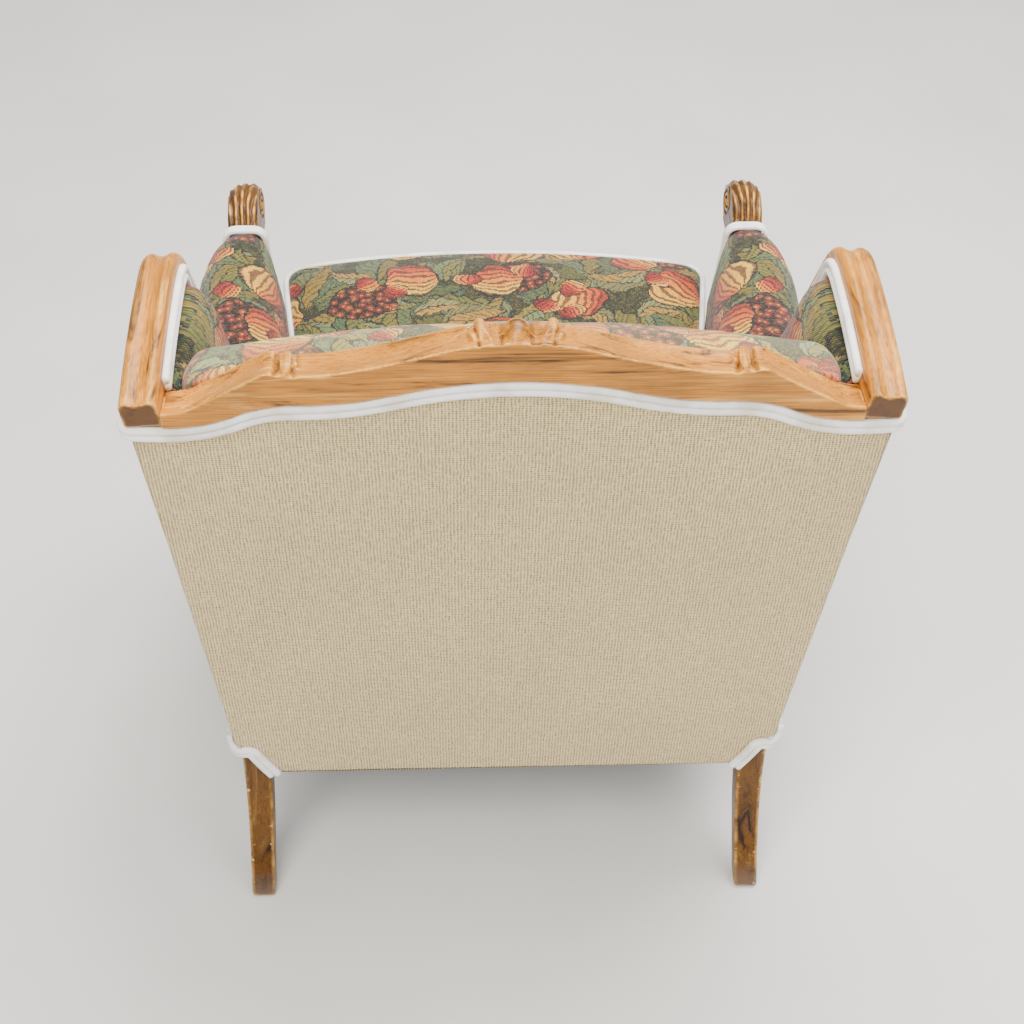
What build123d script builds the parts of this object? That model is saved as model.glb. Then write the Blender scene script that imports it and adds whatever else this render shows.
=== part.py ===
"""Low-wing closed-arm bergere: carved wood frame, sprung and padded body, loose seat cushion."""
import os
from math import asin, atan2, cos, hypot, pi, radians, remainder, sin, sqrt, tan

from build123d import *

os.makedirs("parts", exist_ok=True)

# Overall frame, millimetres and degrees; the sitter faces -Y and the floor is Z = 0
FRAME_WIDTH = 646.0
FRAME_DEPTH = 618.0
RAIL_TOP = 280.0
BACK_LEAN = 9.0
SIDE_FLARE = 3.9
CUSHION_OVERHANG = 34.0

# Crest rail: ridge and lower edge at the middle, then stations as share of half width and drop
CREST_RIDGE = 912.0
CREST_EDGE = 862.0
CREST_PROUD = 6.0
CREST_FRONT = 28.0
CREST_FALL = 12.0
RIDGE_BROW = (0.20, 12.0)
RIDGE_WAIST = (0.455, 36.5)
RIDGE_DIP = (0.566, 39.5)
RIDGE_EAR = (0.601, 36.5)
RIDGE_EAR_TOP = (0.645, 38.5)
RIDGE_SLOPE = (0.83, 81.0)
RIDGE_END = (0.91, 88.0)
EDGE_BROW = (0.305, 16.0)
EDGE_DIP = (0.57, 29.0)
EDGE_SLOPE = (0.71, 41.0)
EDGE_LOW = (0.91, 57.5)
EDGE_END = (1.0, 56.0)
EAR_HEADING = 20.0
KNOB_RADIUS = 13.0
LOBE_RADIUS = 11.0
TENDRIL_RADIUS = 8.0
BUD_RADIUS = 7.0
LOBE_LAP = 2.2
TENDRIL_LAP = 5.6
CREST_END_RISE = 7.0
LOBE_SINK = 2.0
TENDRIL_SINK = 5.0

# Wing rails: crown of the sweep, its bend and the band section
WING_CROWN_Z = 856.0
WING_CROWN_RUN = 184.0
WING_REAR_DROP = 19.0
WING_BEND = 60.0
WING_TURN = 62.0
WING_WIDTH = 36.0
WING_DEPTH = 34.0
WING_PROUD = 2.0
WING_LIP = 12.0
WING_BEAD = 8.5
WING_HOLLOW = 3.5

# Legs and posts
GLIDE_THICKNESS = 3.0
GLIDE_RADIUS = 10.0
POST_WIDTH = 34.0
POST_DEPTH = 42.0
FOOT_WIDTH = 29.0
FOOT_DEPTH = 30.0
FOOT_SWEEP = 54.0
LEG_CORNER = 3.0
FRONT_BLOCK = 46.0
KNEE_SIZE = 52.0
KNEE_OUT = 4.0
CALF_SIZE = 38.0
ANKLE_SIZE = 27.0
ANKLE_IN = 7.0
TOE_SIZE = 34.0
TOE_OUT = 5.0
KNEE_Z = 224.0
CALF_Z = 154.0
ANKLE_Z = 50.0
TOE_Z = 14.0
FRONT_ROUND = 0.2
SWEEP_LEAD = 6.0

# Arms, arm posts and hand-rests
ARM_TOP = 590.0
ARM_HEIGHT = 28.0
ARM_WIDTH = 30.0
HAND_TOP = 623.0
HAND_WIDTH = 38.0
HAND_START = 262.0
HAND_LENGTH = 92.0
HAND_CROWN = 50.0
HAND_NECK_DROP = 2.0
SCROLL_RADIUS = 15.0
SCROLL_DROP = 2.5
ARM_POST_WIDTH = 34.0
ARM_POST_SLIM = 32.0
ARM_POST_FOOT = 82.0
ARM_POST_HEAD = 40.0
ARM_POST_WAIST = 134.0
SIDE_INSET = 6.0

# Seat rails, tack rails and joints
RAIL_THICKNESS = 26.0
REAR_SETBACK = 1.0
SIDE_RAIL_HEIGHT = 80.0
FRONT_RAIL_HEIGHT = 76.0
APRON_RISE = 20.0
APRON_DROP = 8.0
TACK_HEIGHT = 28.0
TACK_BASE = 318.0
TACK_THICKNESS = 16.0
BLOCK_LEG = 92.0
BLOCK_HEIGHT = 50.0
SCREW_LENGTH = 45.0
SCREW_OFFSET = 62.0
SCREW_RADIUS = 2.2
SCREW_HEAD = 4.5
DOWEL_RADIUS = 4.0
DOWEL_LENGTH = 40.0

# Springs and sheets
WIRE_RADIUS = 1.9
SPRING_REACH = 46.0
SPRING_PITCH = 24.0
SPRING_BEND = 11.0
SEAT_SPRING_GAP = 100.0
BACK_SPRING_GAP = 120.0
CLIP_WIDTH = 18.0
CLIP_LENGTH = 14.0
CLIP_HEIGHT = 6.0
CLIP_EDGE = 1.0
WIRE_SEAT = 1.0
BURLAP = 1.5

# Panels, pads and welts
PANEL = 7.0
SIDE_PANEL = 3.0
HEM_Z = 172.0
SIDE_HEM_Z = 196.0
SCALLOP_TOP = 219.0
SCALLOP_WIDTH = 31.0
SCALLOP_RISE = 16.0
DECK_TOP = 350.0
BORDER_THICKNESS = 14.0
BORDER_ROUND = 6.0
BACK_PAD_DEPTH = 95.0
BACK_PAD_TOP = 864.0
BACK_PAD_SHOULDER = 40.0
BACK_PAD_WIDTH = 566.0
BACK_PAD_SPREAD = 30.0
WING_PAD_BASE = 10.0
WING_PAD_CROWN = 24.0
ARM_PAD_TOP = 606.0
ARM_PAD_UNDER = 552.0
ARM_BULGE = 23.0
ARM_PAD_LEAN = 14.0
ARM_ROLL = 30.0
ARM_SWELL_START = 60.0
ARM_SWELL_FULL = 125.0
ARM_SWELL_EASE = 210.0
ARM_SWELL_END = 300.0
ARM_SAG = 4.0
WELT_WIDTH = 18.0
WELT_VALLEY = 1.4
WELT_ROUND = 0.9
WELT_GAP = 1.5
WELT_BEND = 12.0
WELT_LIFT = 16.0

# Loose cushion
CUSHION_FRONT = 562.0
CUSHION_REAR = 430.0
CUSHION_BOW = 37.0
CUSHION_EDGE_Z = 482.0
CUSHION_CROWN = 18.0
CUSHION_UNDER = 14.4
CUSHION_CORNER = 30.0
CUSHION_WALL = 10.0
PIPING_RADIUS = 4.0
SEAT_GAP = 6.0
REST_GAP = 0.5
ZIP_LENGTH = 340.0
ZIP_TAPE = 22.0
ZIP_THICKNESS = 1.2

# Derived frame positions: the box round the whole chair is centred on the origin
LEAN = tan(radians(BACK_LEAN))
FLARE = tan(radians(SIDE_FLARE))
REAR_REACH = (CREST_RIDGE - RAIL_TOP) * LEAN + PANEL + CREST_PROUD
REAR_POST_Y = (FRAME_DEPTH + CUSHION_OVERHANG - REAR_REACH) / 2
FRONT_LEG_Y = REAR_POST_Y - FRAME_DEPTH
HALF = FRAME_WIDTH / 2
LEG_OUT = HALF - SIDE_PANEL
LEG_X = LEG_OUT - POST_WIDTH / 2
FRONT_X = LEG_OUT - FRONT_BLOCK / 2
FRONT_Y = FRONT_LEG_Y + FRONT_BLOCK / 2

WELT_HEIGHT = WELT_VALLEY + WELT_ROUND * WELT_WIDTH / 4
SCALLOP_SIDE = SCALLOP_TOP + SCALLOP_RISE

BACK = Plane(
    origin=(0, REAR_POST_Y, RAIL_TOP),
    x_dir=(1, 0, 0),
    z_dir=(0, -cos(radians(BACK_LEAN)), sin(radians(BACK_LEAN))),
)
SIDE = Plane(
    origin=(HALF, 0, RAIL_TOP),
    x_dir=(0, 1, 0),
    z_dir=(cos(radians(SIDE_FLARE)), 0, -sin(radians(SIDE_FLARE))),
)


def level(z):
    """Horizontal plane at height z."""
    return Plane.XY.offset(z)


def across(y):
    """Upright plane across the chair at depth y, its local y pointing up."""
    return Plane((0, y, 0), x_dir=(1, 0, 0), z_dir=(0, -1, 0))


def rise(z):
    """Distance up the leaning back for a height."""
    return (z - RAIL_TOP) / cos(radians(BACK_LEAN))


def climb(z):
    """Distance up the flared side for a height."""
    return (z - RAIL_TOP) / cos(radians(SIDE_FLARE))


def back_y(z):
    """Depth of the rear face of the back posts at a height."""
    return REAR_POST_Y + (z - RAIL_TOP) * LEAN


def side_x(z):
    """Half width over the outside panels at a height."""
    return HALF + (z - RAIL_TOP) * FLARE


def bend(start, end, heading):
    """Arc that leaves start along heading and ends at end; gives the heading there."""
    run = hypot(end[0] - start[0], end[1] - start[1])
    chord = atan2(end[1] - start[1], end[0] - start[0])
    turn = remainder(heading - chord, 2 * pi)
    bulge = run / 2 * tan(turn / 2)
    middle = (
        (start[0] + end[0]) / 2 - bulge * sin(chord),
        (start[1] + end[1]) / 2 + bulge * cos(chord),
    )
    ThreePointArc(start, middle, end)
    return chord - turn


def arc_chain(points, heading):
    """Arcs through the points, each tangent to the one before; gives the last heading."""
    for start, end in zip(points, points[1:]):
        heading = bend(start, end, heading)
    return heading


def trim_plane(path, out):
    """Section plane at the start of a path, its local y pointing out of the cloth."""
    heading = path % 0
    return Plane(origin=path @ 0, x_dir=out.cross(heading), z_dir=heading)


def double_cord():
    """Outline of a double welt with a flat underside."""
    half = WELT_WIDTH / 2
    Line((-half, 0), (half, 0))
    Line((half, 0), (half, WELT_VALLEY))
    ThreePointArc((half, WELT_VALLEY), (half / 2, WELT_HEIGHT), (0, WELT_VALLEY))
    ThreePointArc((0, WELT_VALLEY), (-half / 2, WELT_HEIGHT), (-half, WELT_VALLEY))
    Line((-half, WELT_VALLEY), (-half, 0))


# Serpentine lines of the crest, from the middle out
EDGE_HALF = side_x(CREST_EDGE - EDGE_END[1])
EDGE_MARKS = ((0.0, 0.0), EDGE_BROW, EDGE_DIP, EDGE_SLOPE, EDGE_LOW, EDGE_END)
RIDGE_MARKS = ((0.0, 0.0), RIDGE_BROW, RIDGE_WAIST, RIDGE_DIP, RIDGE_EAR)
SLOPE_MARKS = (RIDGE_EAR, RIDGE_EAR_TOP, RIDGE_SLOPE, RIDGE_END)


def crest_points(marks, top):
    """Stations of a crest line in the plane of the back."""
    return [(share * EDGE_HALF, rise(top - drop)) for share, drop in marks]


def crest_half(fall):
    """Half outline of the crest with its ridge lowered by fall."""
    ridge = crest_points(RIDGE_MARKS, CREST_RIDGE - fall)
    slope = crest_points(SLOPE_MARKS, CREST_RIDGE - fall)
    edge = crest_points(EDGE_MARKS[:-1], CREST_EDGE)
    arc_chain(ridge, 0.0)
    arc_chain(slope, radians(EAR_HEADING))
    Line(slope[-1], edge[-1])
    arc_chain(edge, 0.0)
    Line(edge[0], ridge[0])


# Sweep of the wing rail, seen from the side: rear arc, bend and straight fall to the arm
REAR_TURN = 2 * atan2(WING_REAR_DROP, WING_CROWN_RUN)
REAR_BEND = WING_CROWN_RUN / sin(REAR_TURN)
WING_REAR_Z = WING_CROWN_Z - WING_DEPTH / 2 - WING_REAR_DROP
WING_REAR_Y = back_y(WING_REAR_Z) + PANEL + CREST_PROUD
CROWN_Y = WING_REAR_Y - WING_CROWN_RUN
CROWN_T = climb(WING_CROWN_Z - WING_DEPTH / 2)
ARM_T = climb(ARM_TOP)
FOOT_T = climb(ARM_TOP - ARM_HEIGHT / 2)
TURN = radians(WING_TURN)


def wing_marks(shift, turn=REAR_TURN):
    """Ends of the wing sweep moved outward by shift: rear end, crown, bend end, foot."""
    rear_radius = REAR_BEND + shift
    rear_y = CROWN_Y + rear_radius * sin(turn)
    rear_t = CROWN_T - REAR_BEND + rear_radius * cos(turn)
    radius = WING_BEND + shift
    bend_y = CROWN_Y - radius * sin(TURN)
    bend_t = CROWN_T - WING_BEND + radius * cos(TURN)
    fall = (bend_t - ARM_T) / sin(TURN)
    foot_y = bend_y - fall * cos(TURN)
    return (rear_y, rear_t), (CROWN_Y, CROWN_T + shift), (bend_y, bend_t), (foot_y, ARM_T)


def rear_turn(shift, reach=0.0):
    """Turn of the rear arc that ends it on the plane of the back, or reach in front of it."""
    return asin((back_y(WING_REAR_Z + shift) - reach - CROWN_Y) / (REAR_BEND + shift))


def wing_sweep(shift, turn=REAR_TURN):
    """Line of the wing rail from the rear end to the arm."""
    rear, crown, fall, foot = wing_marks(shift, turn)
    bend(rear, crown, pi - turn)
    bend(crown, fall, pi)
    Line(fall, foot)


# Rear legs, each one piece with its back post
SWEEP_START = SCALLOP_TOP + SWEEP_LEAD
SWEEP_RATE = (FOOT_SWEEP + RAIL_TOP * LEAN) / SWEEP_START**2
LEG_STEPS = 4
POST_OUT = LEG_OUT - (RAIL_TOP - SWEEP_START) * FLARE
POST_TOP = WING_REAR_Z - WING_DEPTH / 4


def leg_rear(z):
    """Depth of the rear face of the leg: a parabola that runs on from the post."""
    return back_y(z) + SWEEP_RATE * max(SWEEP_START - z, 0) ** 2


# Dowels of the frame joints on the left side: place, axis
DOWEL_HIGH = 25.0
DOWEL_LOW = 75.0
DOWEL_UPPER = 40.0
DOWEL_LOWER = 60.0
ARM_MID = ARM_TOP - ARM_HEIGHT / 2
ARM_MID_X = side_x(ARM_MID) - SIDE_INSET - HAND_WIDTH / 2
HAND_Y = -HAND_START
ARM_POST_REAR = HAND_Y - WELT_GAP
FRONT_RAIL_Y = FRONT_LEG_Y + SIDE_INSET
CREST_END_Z = CREST_EDGE - EDGE_LOW[1] + CREST_END_RISE
UP_SIDE = SIDE.y_dir
JOINTS = [((ARM_MID_X, back_y(ARM_MID) - POST_DEPTH, ARM_MID), (0, 1, 0))]
JOINTS.append(((side_x(CREST_END_Z) - WING_WIDTH, back_y(CREST_END_Z), CREST_END_Z), (1, 0, 0)))
JOINTS.append(((LEG_X - SIDE_PANEL, FRONT_Y, RAIL_TOP), (0, 0, 1)))
JOINTS.append(
    (SIDE.from_local_coords(
        (ARM_POST_REAR - ARM_POST_SLIM / 2, climb(ARM_TOP - ARM_HEIGHT), -SIDE_INSET - HAND_WIDTH / 2)
    ), UP_SIDE)
)
for drop in (DOWEL_HIGH, DOWEL_LOW):
    z = RAIL_TOP - drop
    JOINTS.append(((LEG_OUT - POST_WIDTH, back_y(z) - RAIL_THICKNESS / 2, z), (1, 0, 0)))
for drop in (DOWEL_UPPER, DOWEL_LOWER):
    z = RAIL_TOP - drop
    JOINTS.append(((LEG_X, leg_rear(z) - POST_DEPTH, z), (0, 1, 0)))
    JOINTS.append(((LEG_X, FRONT_Y + FRONT_BLOCK / 2, z), (0, 1, 0)))
for drop in (DOWEL_HIGH - DOWEL_RADIUS, DOWEL_LOWER - DOWEL_RADIUS):
    z = RAIL_TOP - drop
    place = (FRONT_X - FRONT_BLOCK / 2, FRONT_RAIL_Y + RAIL_THICKNESS / 2, z)
    JOINTS.append((place, (1, 0, 0)))

with BuildPart() as dowels_left:
    for place, axis in JOINTS:
        with Locations(Plane(origin=place, z_dir=axis)):
            Cylinder(DOWEL_RADIUS, DOWEL_LENGTH)

DOWELS = dowels_left.part
DOWELS_RIGHT = dowels_left.part.mirror(Plane.YZ)

with BuildPart() as frame_dowels:
    add(DOWELS)
    add(DOWELS_RIGHT)

# Wing rail band before its joint with the arm is cut
with BuildPart() as wing_band:
    with BuildLine(SIDE.offset(WING_PROUD - WING_WIDTH / 2)) as wing_path:
        wing_sweep(0)
        rear, crown, fall, foot = wing_marks(0)
        Line(foot, (foot[0] - (ARM_T - FOOT_T) / tan(TURN), FOOT_T))
    wing_start = Plane(
        origin=wing_path.wire() @ 0, x_dir=SIDE.z_dir, z_dir=wing_path.wire() % 0
    )
    with BuildSketch(wing_start):
        with BuildLine():
            side = WING_WIDTH / 2
            top = WING_DEPTH / 2
            inner = side - WING_BEAD
            lip = WING_BEAD * (1 - sqrt(0.5))
            Line((-side, -top), (side, -top))
            Line((side, -top), (side, top - WING_BEAD))
            ThreePointArc((side, top - WING_BEAD), (side - lip, top - lip), (inner, top))
            ThreePointArc((inner, top), (0, top - WING_HOLLOW), (-inner, top))
            ThreePointArc((-inner, top), (lip - side, top - lip), (-side, top - WING_BEAD))
            Line((-side, top - WING_BEAD), (-side, -top))
        make_face()
    sweep(path=wing_path.wire())

with BuildPart() as rear_leg_left:
    for step in range(LEG_STEPS + 1):
        share = step / LEG_STEPS
        z = GLIDE_THICKNESS + share * (SWEEP_START - GLIDE_THICKNESS)
        width = FOOT_WIDTH + share * (POST_WIDTH - FOOT_WIDTH)
        depth = FOOT_DEPTH + share * (POST_DEPTH - FOOT_DEPTH)
        with BuildSketch(level(z)):
            with Locations((POST_OUT - width / 2, leg_rear(z) - depth / 2)):
                RectangleRounded(width, depth, LEG_CORNER)
    loft()
    with BuildSketch(level(SWEEP_START)):
        with Locations((POST_OUT - POST_WIDTH / 2, back_y(SWEEP_START) - POST_DEPTH / 2)):
            RectangleRounded(POST_WIDTH, POST_DEPTH, LEG_CORNER)
    extrude(
        amount=(POST_TOP - SWEEP_START) * sqrt(1 + FLARE**2 + LEAN**2), dir=(FLARE, LEAN, 1)
    )
    add(wing_band.part, mode=Mode.SUBTRACT)
    add(DOWELS, mode=Mode.SUBTRACT)

# Front cabriole legs
FRONT_STATIONS = (
    (GLIDE_THICKNESS, TOE_OUT, TOE_SIZE - LEG_CORNER),
    (TOE_Z, TOE_OUT, TOE_SIZE),
    (ANKLE_Z, -ANKLE_IN, ANKLE_SIZE),
    (CALF_Z, 0.0, CALF_SIZE),
    (KNEE_Z, KNEE_OUT, KNEE_SIZE),
    (RAIL_TOP, 0.0, FRONT_BLOCK),
)

with BuildPart() as front_leg_left:
    for z, out, size in FRONT_STATIONS:
        with BuildSketch(level(z)):
            with Locations((FRONT_X + out, FRONT_Y - out)):
                RectangleRounded(size, size, size * FRONT_ROUND)
    loft()
    add(DOWELS, mode=Mode.SUBTRACT)

# Arms with carved hand-rests
ARM_REAR_Y = back_y(ARM_TOP) - POST_DEPTH / 2
HAND_FRONT = HAND_Y - HAND_LENGTH
HAND_NECK = ARM_TOP - HAND_NECK_DROP
ARM_INSET = SIDE_INSET + (HAND_WIDTH - ARM_WIDTH) / 2

with BuildPart() as arm_left:
    with BuildSketch(SIDE.offset(-ARM_INSET)):
        with BuildLine():
            Polyline(
                (ARM_REAR_Y, climb(ARM_TOP)),
                (HAND_Y, climb(ARM_TOP)),
                (HAND_Y, climb(ARM_TOP - ARM_HEIGHT)),
                (ARM_REAR_Y, climb(ARM_TOP - ARM_HEIGHT)),
                close=True,
            )
        make_face()
    extrude(amount=-ARM_WIDTH)
    with BuildSketch(SIDE.offset(-SIDE_INSET)):
        with BuildLine():
            crown = (HAND_Y - HAND_CROWN, climb(HAND_TOP))
            nose = (HAND_FRONT, climb(HAND_TOP - SCROLL_RADIUS))
            tuck = (HAND_FRONT + SCROLL_RADIUS / 2, climb(ARM_TOP - ARM_HEIGHT / 2))
            neck = (HAND_Y, climb(HAND_NECK))
            under = (HAND_Y, climb(ARM_TOP - ARM_HEIGHT))
            bend(crown, neck, 0.0)
            bend(crown, nose, pi)
            ThreePointArc(nose, (HAND_FRONT, climb(ARM_TOP - SCROLL_DROP)), tuck)
            Line(tuck, (tuck[0] + SCROLL_RADIUS, under[1]))
            Line((tuck[0] + SCROLL_RADIUS, under[1]), under)
            Line(under, neck)
        make_face()
    extrude(amount=-HAND_WIDTH)
    add(rear_leg_left.part, mode=Mode.SUBTRACT)
    add(DOWELS, mode=Mode.SUBTRACT)

with BuildPart() as wing_rail_left:
    add(wing_band.part)
    add(arm_left.part, mode=Mode.SUBTRACT)
    add(DOWELS, mode=Mode.SUBTRACT)

# Arm posts
ARM_POST_FOOT_Y = ARM_POST_REAR - ARM_POST_FOOT
ARM_POST_SLIM_Z = RAIL_TOP + ARM_POST_WAIST

with BuildPart() as arm_post_left:
    with BuildSketch(SIDE.offset(-SIDE_INSET)):
        with BuildLine():
            head = (ARM_POST_REAR - ARM_POST_HEAD, climb(ARM_TOP - ARM_HEIGHT / 2))
            waist = (ARM_POST_REAR - ARM_POST_SLIM, climb(ARM_POST_SLIM_Z))
            foot = (ARM_POST_FOOT_Y, 0)
            bend(waist, foot, -pi / 2)
            bend(waist, head, pi / 2)
            Line(head, (ARM_POST_REAR, head[1]))
            Line((ARM_POST_REAR, head[1]), (ARM_POST_REAR, 0))
            Line((ARM_POST_REAR, 0), foot)
        make_face()
    extrude(amount=-ARM_POST_WIDTH)
    add(arm_left.part, mode=Mode.SUBTRACT)
    with Locations((FRONT_X, FRONT_Y, RAIL_TOP)):
        Box(
            2 * FRAME_WIDTH,
            2 * FRAME_WIDTH,
            RAIL_TOP,
            align=(Align.CENTER, Align.CENTER, Align.MAX),
            mode=Mode.SUBTRACT,
        )
    add(DOWELS, mode=Mode.SUBTRACT)

# Seat rails between the legs
REAR_RAIL_TOP = RAIL_TOP - (RAIL_THICKNESS + REAR_SETBACK) * sin(radians(BACK_LEAN))

# Screws of the corner blocks
BLOCK_X = LEG_X - RAIL_THICKNESS / 2
BLOCK_FRONT = FRONT_RAIL_Y + RAIL_THICKNESS
BLOCK_MID = RAIL_TOP - SIDE_RAIL_HEIGHT / 2
BLOCK_REAR = back_y(BLOCK_MID) - RAIL_THICKNESS / cos(radians(BACK_LEAN))
HEAD_DEPTH = 3.0
HEAD_SINK = 6.0

with BuildPart() as screws_left:
    for corner, toward in ((BLOCK_FRONT, 1), (BLOCK_REAR, -1)):
        start = BLOCK_X - BLOCK_LEG + SCREW_OFFSET + HEAD_SINK
        seat = Plane(origin=(start, corner + toward * SCREW_OFFSET, BLOCK_MID), z_dir=(1, 0, 0))
        cross = corner + toward * (BLOCK_LEG - SCREW_OFFSET - HEAD_SINK)
        turned = Plane(origin=(BLOCK_X - SCREW_OFFSET, cross, BLOCK_MID), z_dir=(0, -toward, 0))
        with Locations(seat, turned):
            Cylinder(SCREW_RADIUS, SCREW_LENGTH, align=(Align.CENTER, Align.CENTER, Align.MIN))
            Cylinder(SCREW_HEAD, HEAD_DEPTH, align=(Align.CENTER, Align.CENTER, Align.MIN))

SCREWS = screws_left.part
SCREWS_RIGHT = screws_left.part.mirror(Plane.YZ)

with BuildPart() as side_rail_left:
    rail_run = leg_rear(RAIL_TOP) - POST_DEPTH / 2 - FRONT_Y
    with Locations((LEG_X, FRONT_Y + rail_run / 2, RAIL_TOP - SIDE_RAIL_HEIGHT / 2)):
        Box(RAIL_THICKNESS, rail_run, SIDE_RAIL_HEIGHT)
    add(rear_leg_left.part, mode=Mode.SUBTRACT)
    add(front_leg_left.part, mode=Mode.SUBTRACT)
    add(DOWELS, mode=Mode.SUBTRACT)
    add(SCREWS, mode=Mode.SUBTRACT)

with BuildPart() as front_rail:
    with BuildSketch(across(FRONT_RAIL_Y)):
        with BuildLine():
            low = RAIL_TOP - FRONT_RAIL_HEIGHT
            mid = FRONT_X / 2
            Line((0, RAIL_TOP), (FRONT_X, RAIL_TOP))
            Line((FRONT_X, RAIL_TOP), (FRONT_X, low))
            arc_chain([(0, low - APRON_DROP), (mid / 2, low), (mid, low + APRON_RISE / 2)], 0.0)
            ThreePointArc(
                (mid, low + APRON_RISE / 2), (1.5 * mid, low + APRON_RISE), (FRONT_X, low)
            )
            Line((0, low - APRON_DROP), (0, RAIL_TOP))
        make_face()
    extrude(amount=-RAIL_THICKNESS)
    mirror(about=Plane.YZ)
    add(front_leg_left.part, mode=Mode.SUBTRACT)
    add(front_leg_left.part.mirror(Plane.YZ), mode=Mode.SUBTRACT)
    for solid in (DOWELS, DOWELS_RIGHT, SCREWS, SCREWS_RIGHT):
        add(solid, mode=Mode.SUBTRACT)

with BuildPart() as rear_rail:
    with BuildSketch(BACK.offset(REAR_SETBACK)):
        rail_mid = (rise(HEM_Z) + rise(REAR_RAIL_TOP)) / 2
        with Locations((0, rail_mid)):
            Rectangle(2 * LEG_X, rise(REAR_RAIL_TOP) - rise(HEM_Z))
    extrude(amount=RAIL_THICKNESS)
    add(rear_leg_left.part, mode=Mode.SUBTRACT)
    add(rear_leg_left.part.mirror(Plane.YZ), mode=Mode.SUBTRACT)
    for solid in (DOWELS, DOWELS_RIGHT, SCREWS, SCREWS_RIGHT):
        add(solid, mode=Mode.SUBTRACT)

# Tack rails above the seat
with BuildPart() as back_tack_rail:
    with BuildSketch(BACK):
        with Locations((0, rise(TACK_BASE + TACK_HEIGHT / 2))):
            Rectangle(2 * side_x(TACK_BASE) - POST_WIDTH, TACK_HEIGHT)
    extrude(amount=TACK_THICKNESS)
    add(rear_leg_left.part, mode=Mode.SUBTRACT)
    add(rear_leg_left.part.mirror(Plane.YZ), mode=Mode.SUBTRACT)

with BuildPart() as side_tack_rail_left:
    with BuildSketch(SIDE.offset(-SIDE_INSET - (ARM_POST_WIDTH - TACK_THICKNESS) / 2)):
        tack_rear = back_y(TACK_BASE) - POST_DEPTH / 2
        tack_front = ARM_POST_REAR - ARM_POST_SLIM / 2
        with Locations(((tack_rear + tack_front) / 2, climb(TACK_BASE + TACK_HEIGHT / 2))):
            Rectangle(tack_rear - tack_front, TACK_HEIGHT)
    extrude(amount=-TACK_THICKNESS)
    add(rear_leg_left.part, mode=Mode.SUBTRACT)
    add(arm_post_left.part, mode=Mode.SUBTRACT)

# Crest rail between the wing rails, with its carved middle
with BuildPart() as crest_rail:
    with BuildSketch(BACK.offset(-PANEL - CREST_PROUD)):
        with BuildLine():
            crest_half(0.0)
        make_face()
    with BuildSketch(BACK.offset(CREST_FRONT)):
        with BuildLine():
            crest_half(CREST_FALL)
        make_face()
    loft(ruled=True)
    carve_w = (CREST_FRONT - PANEL - CREST_PROUD) / 2
    lobe_x = KNOB_RADIUS + LOBE_RADIUS - LOBE_LAP
    tendril_x = lobe_x + LOBE_RADIUS + TENDRIL_RADIUS - TENDRIL_LAP
    carve_v = rise(CREST_RIDGE - CREST_FALL / 2)
    bud_v = rise(CREST_RIDGE - CREST_FALL / 2 - RIDGE_DIP[1])
    with Locations(BACK.location * Location((lobe_x, carve_v - LOBE_SINK, carve_w))):
        Sphere(LOBE_RADIUS)
    with Locations(BACK.location * Location((tendril_x, carve_v - TENDRIL_SINK, carve_w))):
        Sphere(TENDRIL_RADIUS)
    with Locations(BACK.location * Location((RIDGE_DIP[0] * EDGE_HALF, bud_v, carve_w))):
        Sphere(BUD_RADIUS)
    mirror(about=Plane.YZ)
    with Locations(BACK.location * Location((0, carve_v, carve_w))):
        Sphere(KNOB_RADIUS)
    for solid in (wing_band.part, rear_leg_left.part, DOWELS):
        add(solid, mode=Mode.SUBTRACT)
        add(solid.mirror(Plane.YZ), mode=Mode.SUBTRACT)

# Corner blocks glued into the seat frame
with BuildPart() as blocks_left:
    with BuildSketch(level(BLOCK_MID - BLOCK_HEIGHT / 2)):
        for corner, toward in ((BLOCK_FRONT, 1), (BLOCK_REAR, -1)):
            with BuildLine():
                Polyline(
                    (BLOCK_X, corner),
                    (BLOCK_X - BLOCK_LEG, corner),
                    (BLOCK_X, corner + toward * BLOCK_LEG),
                    close=True,
                )
            make_face()
    extrude(amount=BLOCK_HEIGHT)
    for solid in (front_leg_left, rear_leg_left, rear_rail, dowels_left):
        add(solid.part, mode=Mode.SUBTRACT)
    add(SCREWS, mode=Mode.SUBTRACT)
    for corner, toward in ((BLOCK_FRONT, 1), (BLOCK_REAR, -1)):
        start = BLOCK_X - BLOCK_LEG + SCREW_OFFSET + HEAD_SINK
        seat = Plane(origin=(start, corner + toward * SCREW_OFFSET, BLOCK_MID), z_dir=(-1, 0, 0))
        cross = corner + toward * (BLOCK_LEG - SCREW_OFFSET - HEAD_SINK)
        turned = Plane(origin=(BLOCK_X - SCREW_OFFSET, cross, BLOCK_MID), z_dir=(0, toward, 0))
        with Locations(seat, turned):
            Cylinder(
                SCREW_HEAD,
                BLOCK_LEG,
                align=(Align.CENTER, Align.CENTER, Align.MIN),
                mode=Mode.SUBTRACT,
            )

with BuildPart() as corner_blocks:
    add(blocks_left.part)
    add(blocks_left.part.mirror(Plane.YZ))

with BuildPart() as corner_screws:
    add(SCREWS)
    add(SCREWS_RIGHT)

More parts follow.
